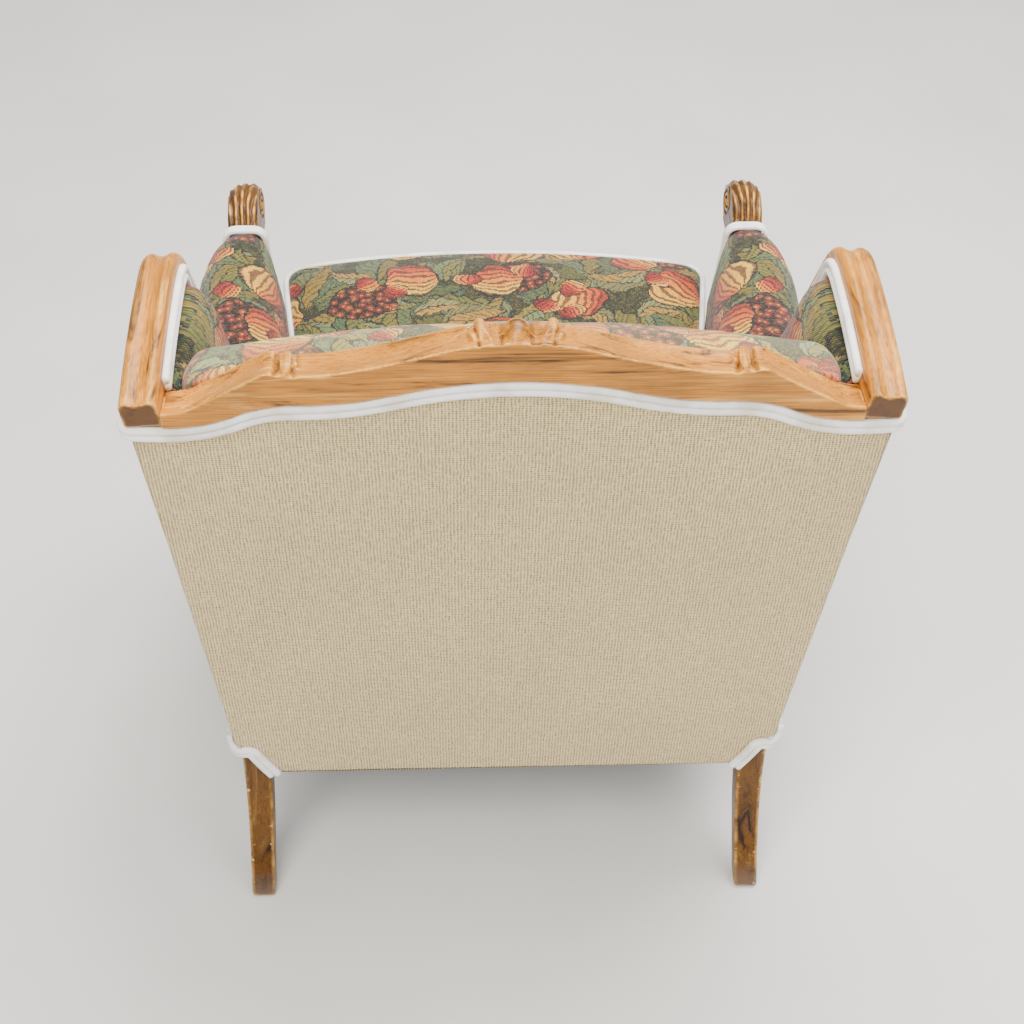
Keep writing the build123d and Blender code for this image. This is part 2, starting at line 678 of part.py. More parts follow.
# Zigzag springs of the seat and the back, with their clips
SEAT_SPRINGS = 5
BACK_SPRINGS = 4
SPRING_FRONT = FRONT_RAIL_Y + RAIL_THICKNESS - CLIP_LENGTH / 2 - CLIP_EDGE
SPRING_REAR = back_y(RAIL_TOP) - RAIL_THICKNESS / 2
WIRE_Z = RAIL_TOP + WIRE_SEAT + WIRE_RADIUS
WIRE_W = TACK_THICKNESS + WIRE_SEAT + WIRE_RADIUS
BACK_SPRING_LOW = TACK_BASE + TACK_HEIGHT / 2
BACK_SPRING_HIGH = CREST_EDGE - EDGE_DIP[1] - CLIP_LENGTH


def zigzag(x, start, end):
    """Corners of a zigzag wire that runs from start to end and sits on x."""
    rows = round((end - start) / SPRING_PITCH)
    step = (end - start) / rows
    corners = []
    for row in range(rows + 1):
        side = SPRING_REACH / 2 * (-1) ** row
        corners.append((x - side, start + row * step))
        corners.append((x + side, start + row * step))
    return corners


def spread(count, gap):
    """Evenly spaced places either side of the middle."""
    return [(place - (count - 1) / 2) * gap for place in range(count)]


with BuildPart() as seat_springs:
    for x in spread(SEAT_SPRINGS, SEAT_SPRING_GAP):
        with BuildLine(level(WIRE_Z), mode=Mode.PRIVATE) as coil:
            FilletPolyline(*zigzag(x, SPRING_FRONT, SPRING_REAR), radius=SPRING_BEND)
        with BuildSketch(Plane(origin=coil.wire() @ 0, z_dir=coil.wire() % 0)):
            Circle(WIRE_RADIUS)
        sweep(path=coil.wire())

with BuildPart() as back_springs:
    for x in spread(BACK_SPRINGS, BACK_SPRING_GAP):
        with BuildLine(BACK.offset(WIRE_W), mode=Mode.PRIVATE) as coil:
            FilletPolyline(
                *zigzag(x, rise(BACK_SPRING_LOW), rise(BACK_SPRING_HIGH)), radius=SPRING_BEND
            )
        with BuildSketch(Plane(origin=coil.wire() @ 0, z_dir=coil.wire() % 0)):
            Circle(WIRE_RADIUS)
        sweep(path=coil.wire())

with BuildPart() as spring_clips:
    for x in spread(BACK_SPRINGS, BACK_SPRING_GAP):
        low_clip = Location((x, rise(BACK_SPRING_LOW), TACK_THICKNESS + CLIP_HEIGHT / 2))
        with Locations(BACK.location * low_clip):
            Box(CLIP_WIDTH, CLIP_LENGTH, CLIP_HEIGHT)
        high_clip = Location((x, rise(BACK_SPRING_HIGH) - CLIP_LENGTH / 2, WIRE_W))
        with Locations(BACK.location * high_clip):
            Box(
                CLIP_WIDTH,
                CREST_EDGE - BACK_SPRING_HIGH + CLIP_LENGTH / 2,
                CLIP_HEIGHT,
                align=(Align.CENTER, Align.MIN, Align.CENTER),
            )
    add(crest_rail.part, mode=Mode.SUBTRACT)
    add(back_springs.part, mode=Mode.SUBTRACT)
    with BuildSketch(level(RAIL_TOP)):
        for x in spread(SEAT_SPRINGS, SEAT_SPRING_GAP):
            with Locations((x, SPRING_FRONT), (x, SPRING_REAR)):
                Rectangle(CLIP_WIDTH, CLIP_LENGTH)
    extrude(amount=CLIP_HEIGHT)
    add(seat_springs.part, mode=Mode.SUBTRACT)
    add(rear_rail.part, mode=Mode.SUBTRACT)

# Burlap sheets over the springs
SEAT_BURLAP_Z = RAIL_TOP + CLIP_HEIGHT
PAD_BASE_Z = SEAT_BURLAP_Z + BURLAP
BACK_BURLAP_W = TACK_THICKNESS + CLIP_HEIGHT
PAD_BASE_W = BACK_BURLAP_W + BURLAP
BORDER_FRONT = FRONT_LEG_Y + WELT_GAP
BORDER_REAR = BORDER_FRONT + BORDER_THICKNESS
FRAME_LEFT = (rear_leg_left.part, arm_post_left.part, front_leg_left.part)
FRAME_RIGHT = [solid.mirror(Plane.YZ) for solid in FRAME_LEFT]

with BuildPart() as seat_sheet:
    with BuildSketch(level(SEAT_BURLAP_Z)):
        with BuildLine():
            burlap_rear = back_y(SEAT_BURLAP_Z) - PAD_BASE_W
            Polyline(
                (-LEG_X, BORDER_REAR),
                (LEG_X, BORDER_REAR),
                (LEG_X, burlap_rear),
                (-LEG_X, burlap_rear),
                close=True,
            )
        make_face()
    extrude(amount=BURLAP)
    for solid in (*FRAME_LEFT, *FRAME_RIGHT):
        add(solid, mode=Mode.SUBTRACT)

with BuildPart() as seat_burlap:
    add(seat_sheet.part.solids().sort_by(SortBy.VOLUME)[-1])

with BuildPart() as back_burlap:
    with BuildSketch(BACK.offset(BACK_BURLAP_W)):
        with BuildLine():
            edge = crest_points(EDGE_MARKS[:-1], CREST_EDGE - WELT_GAP)
            low = (side_x(TACK_BASE) - POST_WIDTH, rise(TACK_BASE))
            arc_chain(edge, 0.0)
            Line(edge[-1], low)
            Line(low, (0, low[1]))
            Line((0, low[1]), edge[0])
        make_face()
    extrude(amount=BURLAP)
    mirror(about=Plane.YZ)
    for solid in (rear_leg_left.part, wing_band.part, arm_left.part):
        add(solid, mode=Mode.SUBTRACT)
        add(solid.mirror(Plane.YZ), mode=Mode.SUBTRACT)
    add(spring_clips.part, mode=Mode.SUBTRACT)

# Inside back: stuffed pad with a crowned face
BACK_EDGE_SHARE = 0.45
BACK_CROWN_INSET = 70.0
BACK_CORNER = 22.0
CROWN_STEPS = 5
CROWN_POWER = 1.5
CROWN = [step / CROWN_STEPS for step in range(1, CROWN_STEPS + 1)]
BACK_SECTIONS = [(0.0, 0.0), (BACK_EDGE_SHARE, 0.0)]
for share in CROWN:
    swell = sqrt(1 - (1 - share) ** 2)
    BACK_SECTIONS.append((BACK_EDGE_SHARE + swell * (1 - BACK_EDGE_SHARE), share**CROWN_POWER))


def back_face(inset):
    """Outline of the inside back drawn in by inset, in the plane of the back."""
    low = BACK_PAD_WIDTH / 2 - inset
    high = low + BACK_PAD_SPREAD
    base = rise(PAD_BASE_Z) + inset / 3
    shoulder = rise(BACK_PAD_TOP - BACK_PAD_SHOULDER) - inset
    Line((-low, base), (low, base))
    Line((low, base), (high, shoulder))
    ThreePointArc((high, shoulder), (0, rise(BACK_PAD_TOP) - inset), (-high, shoulder))
    Line((-high, shoulder), (-low, base))


with BuildPart() as inside_back_pad:
    for depth, inset in BACK_SECTIONS:
        with BuildSketch(BACK.offset(PAD_BASE_W + depth * (BACK_PAD_DEPTH - PAD_BASE_W))) as face:
            with BuildLine():
                back_face(inset * BACK_CROWN_INSET)
            make_face()
            fillet(face.vertices(), BACK_CORNER)
    loft(ruled=True)
    add(crest_rail.part, mode=Mode.SUBTRACT)
    add(spring_clips.part, mode=Mode.SUBTRACT)
    for solid in (*FRAME_LEFT, *FRAME_RIGHT, wing_band.part, wing_band.part.mirror(Plane.YZ)):
        add(solid, mode=Mode.SUBTRACT)

# Double welts on the left side of the body
WELT_SHIFT = -WING_DEPTH / 2 - WELT_WIDTH / 2 - WELT_GAP
INNER_SHIFT = WING_DEPTH / 2 - WING_LIP - WELT_WIDTH / 2
WING_INNER = WING_WIDTH - WING_PROUD
CREST_REACH = (CREST_FRONT + WELT_GAP) / cos(radians(BACK_LEAN))

with BuildPart() as wing_welt_left:
    with BuildLine(SIDE.offset(-WING_INNER), mode=Mode.PRIVATE) as path:
        wing_sweep(INNER_SHIFT, rear_turn(INNER_SHIFT, CREST_REACH))
    with BuildSketch(trim_plane(path.wire(), -SIDE.z_dir)):
        with BuildLine():
            double_cord()
        make_face()
    sweep(path=path.wire())
    for solid in (inside_back_pad, crest_rail, arm_left):
        add(solid.part, mode=Mode.SUBTRACT)

with BuildPart() as outer_wing_welt_left:
    with BuildLine(SIDE, mode=Mode.PRIVATE) as path:
        wing_sweep(WELT_SHIFT, rear_turn(WELT_SHIFT))
    with BuildSketch(trim_plane(path.wire(), SIDE.z_dir)):
        with BuildLine():
            double_cord()
        make_face()
    sweep(path=path.wire())

# Wing pads
WING_CROWN_INSET = 32.0
WING_ROLL_INSET = 7.0
WING_LAP = WING_DEPTH - WING_LIP - WELT_WIDTH - WELT_GAP


def wing_face(inset):
    """Outline of the wing inside its rail, drawn in by inset."""
    shift = -WING_DEPTH / 2 - inset
    rear, crown, fall, foot = wing_marks(shift, rear_turn(shift))
    low = (back_y(ARM_TOP) - POST_DEPTH / 2, ARM_T)
    wing_sweep(shift, rear_turn(shift))
    Line(foot, low)
    Line(low, rear)


with BuildPart() as wing_pad_left:
    for layer in (
        ((WING_PAD_BASE, 0.0), (WING_INNER, 0.0)),
        (
            (WING_INNER, -WING_LAP),
            (WING_INNER + WING_PAD_CROWN / 2, WING_ROLL_INSET),
            (WING_INNER + WING_PAD_CROWN, WING_CROWN_INSET),
        ),
    ):
        for depth, inset in layer:
            with BuildSketch(SIDE.offset(-depth)):
                with BuildLine():
                    wing_face(inset)
                make_face()
        loft(ruled=True)
    for solid in (
        rear_leg_left,
        inside_back_pad,
        crest_rail,
        arm_left,
        wing_welt_left,
        back_burlap,
        dowels_left,
    ):
        add(solid.part, mode=Mode.SUBTRACT)

# Loose cushion plan, shared by the arm pads and the deck
CUSHION_FRONT_Y = FRONT_LEG_Y - CUSHION_OVERHANG + PIPING_RADIUS
CUSHION_CORNER_Y = CUSHION_FRONT_Y + CUSHION_BOW
BACK_PAD_FRONT = back_y(DECK_TOP) - BACK_PAD_DEPTH / cos(radians(BACK_LEAN))
CUSHION_REAR_Y = BACK_PAD_FRONT - PIPING_RADIUS - 2 * REST_GAP
CUSHION_TAPER = (CUSHION_FRONT - CUSHION_REAR) / 2 / (CUSHION_REAR_Y - CUSHION_CORNER_Y)


def seat_half(y):
    """Half width of the cushion at a depth."""
    return CUSHION_FRONT / 2 - (y - CUSHION_CORNER_Y) * CUSHION_TAPER


def cushion_plan(inset):
    """Outline of the cushion drawn in by inset."""
    front = CUSHION_CORNER_Y + inset
    rear = CUSHION_REAR_Y - inset
    wide = seat_half(front) - inset
    slim = seat_half(rear) - inset
    ThreePointArc((-wide, front), (0, front - CUSHION_BOW), (wide, front))
    Line((wide, front), (slim, rear))
    Line((slim, rear), (-slim, rear))
    Line((-slim, rear), (-wide, front))


# Arm pads
ARM_REAR_FLUSH = SIDE_PANEL + REST_GAP
ARM_SIDE_Z = ARM_PAD_TOP - ARM_ROLL
ARM_STATIONS = (
    (HAND_Y, 0.0, 0.0),
    (HAND_Y + ARM_SWELL_START, 0.8, -ARM_SAG / 2),
    (HAND_Y + ARM_SWELL_FULL, 1.0, -ARM_SAG),
    (HAND_Y + ARM_SWELL_EASE, 0.6, -ARM_SAG),
    (HAND_Y + ARM_SWELL_END, 0.0, -ARM_SAG / 2),
    (back_y(ARM_TOP) - BACK_PAD_DEPTH + POST_DEPTH / 2, 0.0, 0.0),
)


def arm_section(y, bulge, drop):
    """Outline of the arm pad at a depth: inner wall, rounded top and the lap over the arm."""
    inner = seat_half(y) + SEAT_GAP
    outer = side_x(ARM_SIDE_Z) - ARM_REAR_FLUSH + bulge * ARM_BULGE
    frame = ARM_POST_WIDTH + SIDE_INSET
    shoulder = (inner + ARM_PAD_LEAN, ARM_SIDE_Z)
    lap = (side_x(ARM_PAD_UNDER) - ARM_REAR_FLUSH, ARM_PAD_UNDER)
    Line((inner, PAD_BASE_Z), (inner, CUSHION_EDGE_Z))
    Line((inner, CUSHION_EDGE_Z), shoulder)
    ThreePointArc(
        shoulder, ((shoulder[0] + outer) / 2, ARM_PAD_TOP + drop), (outer, ARM_SIDE_Z)
    )
    Line((outer, ARM_SIDE_Z), lap)
    Line(lap, (side_x(ARM_PAD_UNDER) - frame, ARM_PAD_UNDER))
    Line((side_x(ARM_PAD_UNDER) - frame, ARM_PAD_UNDER), (side_x(PAD_BASE_Z) - frame, PAD_BASE_Z))
    Line((side_x(PAD_BASE_Z) - frame, PAD_BASE_Z), (inner, PAD_BASE_Z))


with BuildPart() as arm_welt_left:
    with BuildLine(across(HAND_Y + WELT_WIDTH / 2), mode=Mode.PRIVATE) as path:
        inner = seat_half(HAND_Y) + SEAT_GAP + ARM_PAD_LEAN
        outer = side_x(ARM_SIDE_Z) - ARM_REAR_FLUSH
        top = ARM_PAD_TOP - WELT_GAP
        hem = RAIL_TOP + WELT_WIDTH
        FilletPolyline(
            (inner - ARM_PAD_LEAN / 2, CUSHION_EDGE_Z + WELT_LIFT),
            (inner + WELT_GAP, ARM_SIDE_Z),
            (inner + 2 * WELT_GAP, top),
            (outer - WELT_GAP, top),
            (outer, ARM_SIDE_Z),
            (side_x(ARM_PAD_UNDER), ARM_PAD_UNDER),
            (side_x(hem), hem),
            radius=WELT_BEND,
        )
    with BuildSketch(trim_plane(path.wire(), Vector(-1, 0, 0))):
        with BuildLine():
            double_cord()
        make_face()
    sweep(path=path.wire())
    add(arm_left.part, mode=Mode.SUBTRACT)

with BuildPart() as outside_arm_left:
    with BuildSketch(SIDE):
        with BuildLine():
            leg_front = REAR_POST_Y - POST_DEPTH
            Polyline(
                (FRONT_LEG_Y + FRONT_BLOCK, climb(SIDE_HEM_Z)),
                (FRONT_LEG_Y + FRONT_BLOCK, climb(RAIL_TOP)),
                (HAND_Y, climb(RAIL_TOP)),
                (HAND_Y, climb(ARM_PAD_UNDER)),
                (back_y(ARM_PAD_UNDER), climb(ARM_PAD_UNDER)),
                (back_y(SCALLOP_SIDE), climb(SCALLOP_SIDE)),
                (leg_front, climb(SCALLOP_SIDE)),
                (leg_front, climb(SIDE_HEM_Z)),
                close=True,
            )
        make_face()
    extrude(amount=-SIDE_PANEL)
    for solid in (front_leg_left, rear_leg_left, arm_welt_left, arm_post_left, side_rail_left):
        add(solid.part, mode=Mode.SUBTRACT)

with BuildPart() as outside_wing_left:
    with BuildSketch(SIDE):
        with BuildLine():
            edge_turn = rear_turn(-WING_DEPTH / 2)
            rear, crown, fall, foot = wing_marks(-WING_DEPTH / 2, edge_turn)
            low = climb(ARM_PAD_UNDER)
            wing_sweep(-WING_DEPTH / 2, edge_turn)
            Line(foot, (foot[0], low))
            Line((foot[0], low), (back_y(ARM_PAD_UNDER), low))
            Line((back_y(ARM_PAD_UNDER), low), rear)
        make_face()
    extrude(amount=-SIDE_PANEL)
    for solid in (wing_band, rear_leg_left, outer_wing_welt_left):
        add(solid.part, mode=Mode.SUBTRACT)

with BuildPart() as arm_stuffing:
    for y, bulge, drop in ARM_STATIONS:
        with BuildSketch(across(y)):
            with BuildLine():
                arm_section(y, bulge, drop)
            make_face()
    loft()
    for solid in (
        arm_left,
        rear_leg_left,
        inside_back_pad,
        wing_rail_left,
        wing_pad_left,
        wing_welt_left,
        outer_wing_welt_left,
        arm_welt_left,
        arm_post_left,
        side_tack_rail_left,
        outside_arm_left,
        outside_wing_left,
        seat_burlap,
        back_burlap,
        back_tack_rail,
    ):
        add(solid.part, mode=Mode.SUBTRACT)

with BuildPart() as arm_pad_left:
    add(arm_stuffing.part.solids().sort_by(SortBy.VOLUME)[-1])

# Outside back panel with its cut-outs round the legs
SCALLOP_X = side_x(SCALLOP_TOP) - SCALLOP_WIDTH
SCALLOP_LIP = 13.0
SCALLOP_NECK = 6.0
SCALLOP_MID = (SCALLOP_TOP + HEM_Z) / 2 - SCALLOP_NECK / 2

with BuildPart() as outside_back_panel:
    with BuildSketch(BACK):
        with BuildLine():
            edge = crest_points(EDGE_MARKS, CREST_EDGE)
            arc_chain(edge, 0.0)
            Polyline(
                edge[-1],
                (side_x(SCALLOP_SIDE), rise(SCALLOP_SIDE)),
                (SCALLOP_X + SCALLOP_LIP, rise(SCALLOP_TOP)),
                (SCALLOP_X + SCALLOP_NECK, rise(SCALLOP_MID)),
                (SCALLOP_X, rise(HEM_Z)),
                (0, rise(HEM_Z)),
                edge[0],
            )
        make_face()
    extrude(amount=-PANEL)
    mirror(about=Plane.YZ)
    for solid in (*FRAME_LEFT, *FRAME_RIGHT, wing_band.part, wing_band.part.mirror(Plane.YZ)):
        add(solid, mode=Mode.SUBTRACT)

BACK_FACE = BACK.offset(-PANEL)

with BuildPart() as back_welt:
    with BuildLine(BACK_FACE, mode=Mode.PRIVATE) as path:
        marks = crest_points(EDGE_MARKS, CREST_EDGE - WELT_WIDTH / 2 - WELT_GAP)
        heading = arc_chain(marks, 0.0)
        end = marks[-1]
        Line(end, (end[0] + WELT_HEIGHT * cos(heading), end[1] + WELT_HEIGHT * sin(heading)))
    with BuildSketch(trim_plane(path.wire(), -BACK.z_dir)):
        with BuildLine():
            double_cord()
        make_face()
    sweep(path=path.wire())
    mirror(about=Plane.YZ)

with BuildPart() as leg_welt_left:
    with BuildLine(BACK_FACE, mode=Mode.PRIVATE) as path:
        over = SCALLOP_TOP + WELT_WIDTH / 2
        FilletPolyline(
            (side_x(over + SCALLOP_RISE), rise(over + SCALLOP_RISE)),
            (SCALLOP_X + SCALLOP_LIP - WELT_WIDTH / 3, rise(over)),
            (SCALLOP_X + SCALLOP_NECK - WELT_WIDTH / 2, rise(SCALLOP_MID)),
            (SCALLOP_X - WELT_WIDTH / 2, rise(HEM_Z)),
            radius=WELT_BEND,
        )
    with BuildSketch(trim_plane(path.wire(), -BACK.z_dir)):
        with BuildLine():
            double_cord()
        make_face()
    sweep(path=path.wire())
    add(rear_leg_left.part, mode=Mode.SUBTRACT)

# Sprung deck and its front border
with BuildPart() as deck_border:
    border_top = DECK_TOP - RAIL_TOP
    with Locations((0, BORDER_FRONT, RAIL_TOP)):
        Box(
            2 * (side_x(RAIL_TOP) - SIDE_INSET - ARM_POST_WIDTH - REST_GAP),
            BORDER_THICKNESS,
            border_top,
            align=(Align.CENTER, Align.MIN, Align.MIN),
        )
    top_edges = deck_border.edges().filter_by(Axis.X).group_by(Axis.Z)[-1]
    fillet(top_edges.sort_by(Axis.Y)[0], BORDER_ROUND)
    for solid in (*FRAME_LEFT, *FRAME_RIGHT):
        add(solid, mode=Mode.SUBTRACT)

with BuildPart() as front_rail_welt:
    with BuildLine(across(BORDER_FRONT), mode=Mode.PRIVATE) as path:
        welt_half = side_x(RAIL_TOP) - SIDE_INSET - ARM_POST_WIDTH - WELT_GAP
        Line((-welt_half, RAIL_TOP + WELT_WIDTH / 2), (welt_half, RAIL_TOP + WELT_WIDTH / 2))
    with BuildSketch(trim_plane(path.wire(), Vector(0, -1, 0))):
        with BuildLine():
            double_cord()
        make_face()
    sweep(path=path.wire())

with BuildPart() as deck_pad:
    with BuildSketch(level(PAD_BASE_Z)):
        with BuildLine():
            deck_rear = back_y(PAD_BASE_Z) - PAD_BASE_W
            deck_wide = seat_half(BORDER_REAR) + SEAT_GAP
            deck_slim = seat_half(deck_rear) + SEAT_GAP
            Polyline(
                (-deck_wide, BORDER_REAR),
                (deck_wide, BORDER_REAR),
                (deck_slim, deck_rear),
                (-deck_slim, deck_rear),
                close=True,
            )
        make_face()
    extrude(amount=DECK_TOP - PAD_BASE_Z)
    for solid in (*FRAME_LEFT, *FRAME_RIGHT, inside_back_pad.part, back_tack_rail.part):
        add(solid, mode=Mode.SUBTRACT)
    for solid in (arm_pad_left.part, back_burlap.part):
        add(solid, mode=Mode.SUBTRACT)
        add(solid.mirror(Plane.YZ), mode=Mode.SUBTRACT)

# Dust cover and glides
with BuildPart() as dust_cover:
    with BuildSketch(level(RAIL_TOP - SIDE_RAIL_HEIGHT - BURLAP)):
        with BuildLine():
            cover_rear = back_y(RAIL_TOP - SIDE_RAIL_HEIGHT) - RAIL_THICKNESS / 2
            Polyline(
                (-LEG_X, BLOCK_FRONT),
                (LEG_X, BLOCK_FRONT),
                (LEG_X, cover_rear),
                (-LEG_X, cover_rear),
                close=True,
            )
        make_face()
    extrude(amount=BURLAP)
    for solid in (*FRAME_LEFT, *FRAME_RIGHT, rear_rail.part):
        add(solid, mode=Mode.SUBTRACT)

with BuildPart() as leg_glides:
    with BuildSketch(level(0)):
        with Locations(
            (POST_OUT - FOOT_WIDTH / 2, leg_rear(GLIDE_THICKNESS) - FOOT_DEPTH / 2),
            (FRONT_X + TOE_OUT, FRONT_Y - TOE_OUT),
        ):
            Circle(GLIDE_RADIUS)
    extrude(amount=GLIDE_THICKNESS)
    mirror(about=Plane.YZ)

# Loose cushion: cover, foam, piping and zip
CUSHION_BASE = DECK_TOP + REST_GAP
CUSHION_LOW_Z = CUSHION_BASE + CUSHION_UNDER
CUSHION_MID_Z = (CUSHION_LOW_Z + CUSHION_EDGE_Z) / 2
CUSHION_ROLL = 55.0
CUSHION_DRAW = 3.0
CUSHION_DOME = 130.0
CUSHION_SECTIONS = []
for share in reversed(CROWN):
    swell = sqrt(1 - (1 - share) ** 2)
    CUSHION_SECTIONS.append(
        (CUSHION_LOW_Z - swell * (CUSHION_LOW_Z - CUSHION_BASE), CUSHION_ROLL * share**CROWN_POWER)
    )
CUSHION_SECTIONS.append((CUSHION_LOW_Z, 0.0))
CUSHION_SECTIONS.append((CUSHION_MID_Z, CUSHION_DRAW))
CUSHION_SECTIONS.append((CUSHION_EDGE_Z, 0.0))
for share in CROWN:
    swell = sqrt(1 - (1 - share) ** 2)
    CUSHION_SECTIONS.append((CUSHION_EDGE_Z + swell * CUSHION_CROWN, CUSHION_DOME * share**CROWN_POWER))

with BuildPart() as cushion_piping_top:
    with BuildSketch(level(CUSHION_EDGE_Z), mode=Mode.PRIVATE) as plan:
        with BuildLine():
            cushion_plan(0.0)
        make_face()
        fillet(plan.vertices(), CUSHION_CORNER)
    cord = plan.sketch.face().outer_wire()
    with BuildSketch(Plane(origin=cord @ 0, z_dir=cord % 0)):
        Circle(PIPING_RADIUS)
    sweep(path=cord)

with BuildPart() as cushion_piping_bottom:
    with Locations((0, 0, CUSHION_LOW_Z - CUSHION_EDGE_Z)):
        add(cushion_piping_top.part)

with BuildPart() as cushion_foam:
    with BuildSketch(level(CUSHION_LOW_Z)) as plan:
        with BuildLine():
            cushion_plan(CUSHION_WALL)
        make_face()
        fillet(plan.vertices(), CUSHION_CORNER)
    extrude(amount=CUSHION_EDGE_Z - CUSHION_LOW_Z)

with BuildPart() as cushion_zip:
    zip_y = CUSHION_REAR_Y - CUSHION_DRAW
    with Locations((0, zip_y, CUSHION_MID_Z)):
        Box(ZIP_LENGTH, 2 * ZIP_THICKNESS, ZIP_TAPE)
    with Locations(Plane(origin=(0, zip_y + ZIP_THICKNESS, CUSHION_MID_Z), z_dir=(1, 0, 0))):
        Cylinder(ZIP_THICKNESS, ZIP_LENGTH)

with BuildPart() as cushion_cover:
    for z, inset in CUSHION_SECTIONS:
        with BuildSketch(level(z)) as plan:
            with BuildLine():
                cushion_plan(inset)
            make_face()
            fillet(plan.vertices(), CUSHION_CORNER)
    loft(ruled=True)
    for solid in (cushion_foam, cushion_piping_top, cushion_piping_bottom, cushion_zip):
        add(solid.part, mode=Mode.SUBTRACT)

# Right-hand pieces are the left-hand ones mirrored
LEFT_PIECES = {
    "wing_rail": wing_rail_left,
    "rear_leg": rear_leg_left,
    "front_leg": front_leg_left,
    "arm": arm_left,
    "arm_post": arm_post_left,
    "side_rail": side_rail_left,
    "side_tack_rail": side_tack_rail_left,
    "wing_pad": wing_pad_left,
    "arm_pad": arm_pad_left,
    "outside_arm": outside_arm_left,
    "outside_wing": outside_wing_left,
    "wing_welt": wing_welt_left,
    "outer_wing_welt": outer_wing_welt_left,
    "arm_welt": arm_welt_left,
    "leg_welt": leg_welt_left,
}
MIDDLE_PIECES = {
    "crest_rail": crest_rail,
    "front_rail": front_rail,
    "rear_rail": rear_rail,
    "back_tack_rail": back_tack_rail,
    "corner_blocks": corner_blocks,
    "corner_screws": corner_screws,
    "frame_dowels": frame_dowels,
    "seat_springs": seat_springs,
    "back_springs": back_springs,
    "spring_clips": spring_clips,
    "seat_burlap": seat_burlap,
    "back_burlap": back_burlap,
    "deck_pad": deck_pad,
    "deck_border": deck_border,
    "inside_back_pad": inside_back_pad,
    "outside_back_panel": outside_back_panel,
    "back_welt": back_welt,
    "front_rail_welt": front_rail_welt,
    "dust_cover": dust_cover,
    "leg_glides": leg_glides,
    "cushion_cover": cushion_cover,
    "cushion_foam": cushion_foam,
    "cushion_piping_top": cushion_piping_top,
    "cushion_piping_bottom": cushion_piping_bottom,
    "cushion_zip": cushion_zip,
}

for name, piece in LEFT_PIECES.items():
    piece.part.label = name + "_left"
    export_step(piece.part, "parts/" + name + "_left.step")
    with BuildPart() as twin:
        add(piece.part.mirror(Plane.YZ))
    twin.part.label = name + "_right"
    export_step(twin.part, "parts/" + name + "_right.step")

for name, piece in MIDDLE_PIECES.items():
    piece.part.label = name
    export_step(piece.part, "parts/" + name + ".step")
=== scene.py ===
"""Looks of a low-wing closed-arm bergere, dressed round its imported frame."""
import math

import bmesh
import bpy
import numpy as np
from bpy.props import FloatProperty, FloatVectorProperty, IntProperty, PointerProperty
from mathutils import Matrix, Quaternion, Vector
from mathutils.bvhtree import BVHTree
from mathutils.kdtree import KDTree


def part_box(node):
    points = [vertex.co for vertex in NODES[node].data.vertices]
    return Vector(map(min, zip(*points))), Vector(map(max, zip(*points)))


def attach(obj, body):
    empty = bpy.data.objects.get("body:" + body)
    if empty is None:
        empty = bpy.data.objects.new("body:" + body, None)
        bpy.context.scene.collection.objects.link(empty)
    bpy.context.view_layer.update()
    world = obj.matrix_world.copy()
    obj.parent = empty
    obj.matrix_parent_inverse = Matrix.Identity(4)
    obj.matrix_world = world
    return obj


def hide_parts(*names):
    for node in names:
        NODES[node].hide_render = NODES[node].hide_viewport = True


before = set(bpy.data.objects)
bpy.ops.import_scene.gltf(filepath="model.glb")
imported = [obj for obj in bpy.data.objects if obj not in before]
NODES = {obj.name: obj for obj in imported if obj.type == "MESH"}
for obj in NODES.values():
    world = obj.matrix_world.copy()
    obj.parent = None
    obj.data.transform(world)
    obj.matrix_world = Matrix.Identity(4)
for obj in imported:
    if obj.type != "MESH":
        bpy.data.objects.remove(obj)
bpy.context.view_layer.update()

bl_info = {
    "name": "Low-wing bergere",
    "version": (1, 0, 0),
    "blender": (4, 5, 0),
    "location": "3D View > Sidebar > Bergere",
    "description": "Dresses the packed frame of a low-wing bergere in worn wood, tapestry, weave and welt",
    "category": "Object",
}

CHAIR, CUSHION = "chair", "cushion"
SIDES = ("left", "right")
WELD = 1e-6  # metres between points that are one

# Skeleton of the frame in millimetres: seat rail, leaning back and flared sides, then the wood, the pads,
# the welts and the cushion that are placed from them
RAIL_TOP = 280.0
LEAN, FLARE = math.radians(9.0), math.radians(3.9)
BACK_AT = np.array((0.0, 269.451, RAIL_TOP))
BACK_UP = np.array((0.0, math.sin(LEAN), math.cos(LEAN)))
BACK_FRONT = np.array((0.0, -math.cos(LEAN), math.sin(LEAN)))
SIDE_AT = np.array((323.0, 0.0, RAIL_TOP))
SIDE_UP = np.array((math.sin(FLARE), 0.0, math.cos(FLARE)))
SIDE_OUT = np.array((math.cos(FLARE), 0.0, -math.sin(FLARE)))
ALONG_X = np.array((1.0, 0.0, 0.0))
ALONG_Y = np.array((0.0, 1.0, 0.0))
CREST_RIDGE, CREST_EDGE, CREST_FALL, PANEL = 912.0, 862.0, 12.0, 7.0
CREST_REAR, CREST_THICK, EAR_DROP = 13.0, 41.0, 37.0
ARM_TOP, SIDE_INSET = 590.0, 6.0
HAND_Y, HAND_FRONT, HAND_TOP, HAND_WIDTH = -262.0, -354.0, 623.0, 38.0
ARM_PAD_TOP, ARM_SIDE_Z, ARM_PAD_UNDER = 606.0, 576.0, 552.0
ARM_ROLL_Z, ARM_ROLL = 565.0, 46.0
KNEE_Z, APRON_Z = 270.0, 212.0
HEM_Z, CUT_OUT_Z, CUT_OUT_WIDTH = 172.0, 219.0, 31.0
WELT_WIDTH, WELT_GAP, SLIM = 18.0, 1.5, 780.0
CUSHION_EDGE_Z, CUSHION_LOW_Z = 482.0, 364.9
CUSHION_FRONT_Y, CUSHION_REAR_Y = -341.549, 179.35
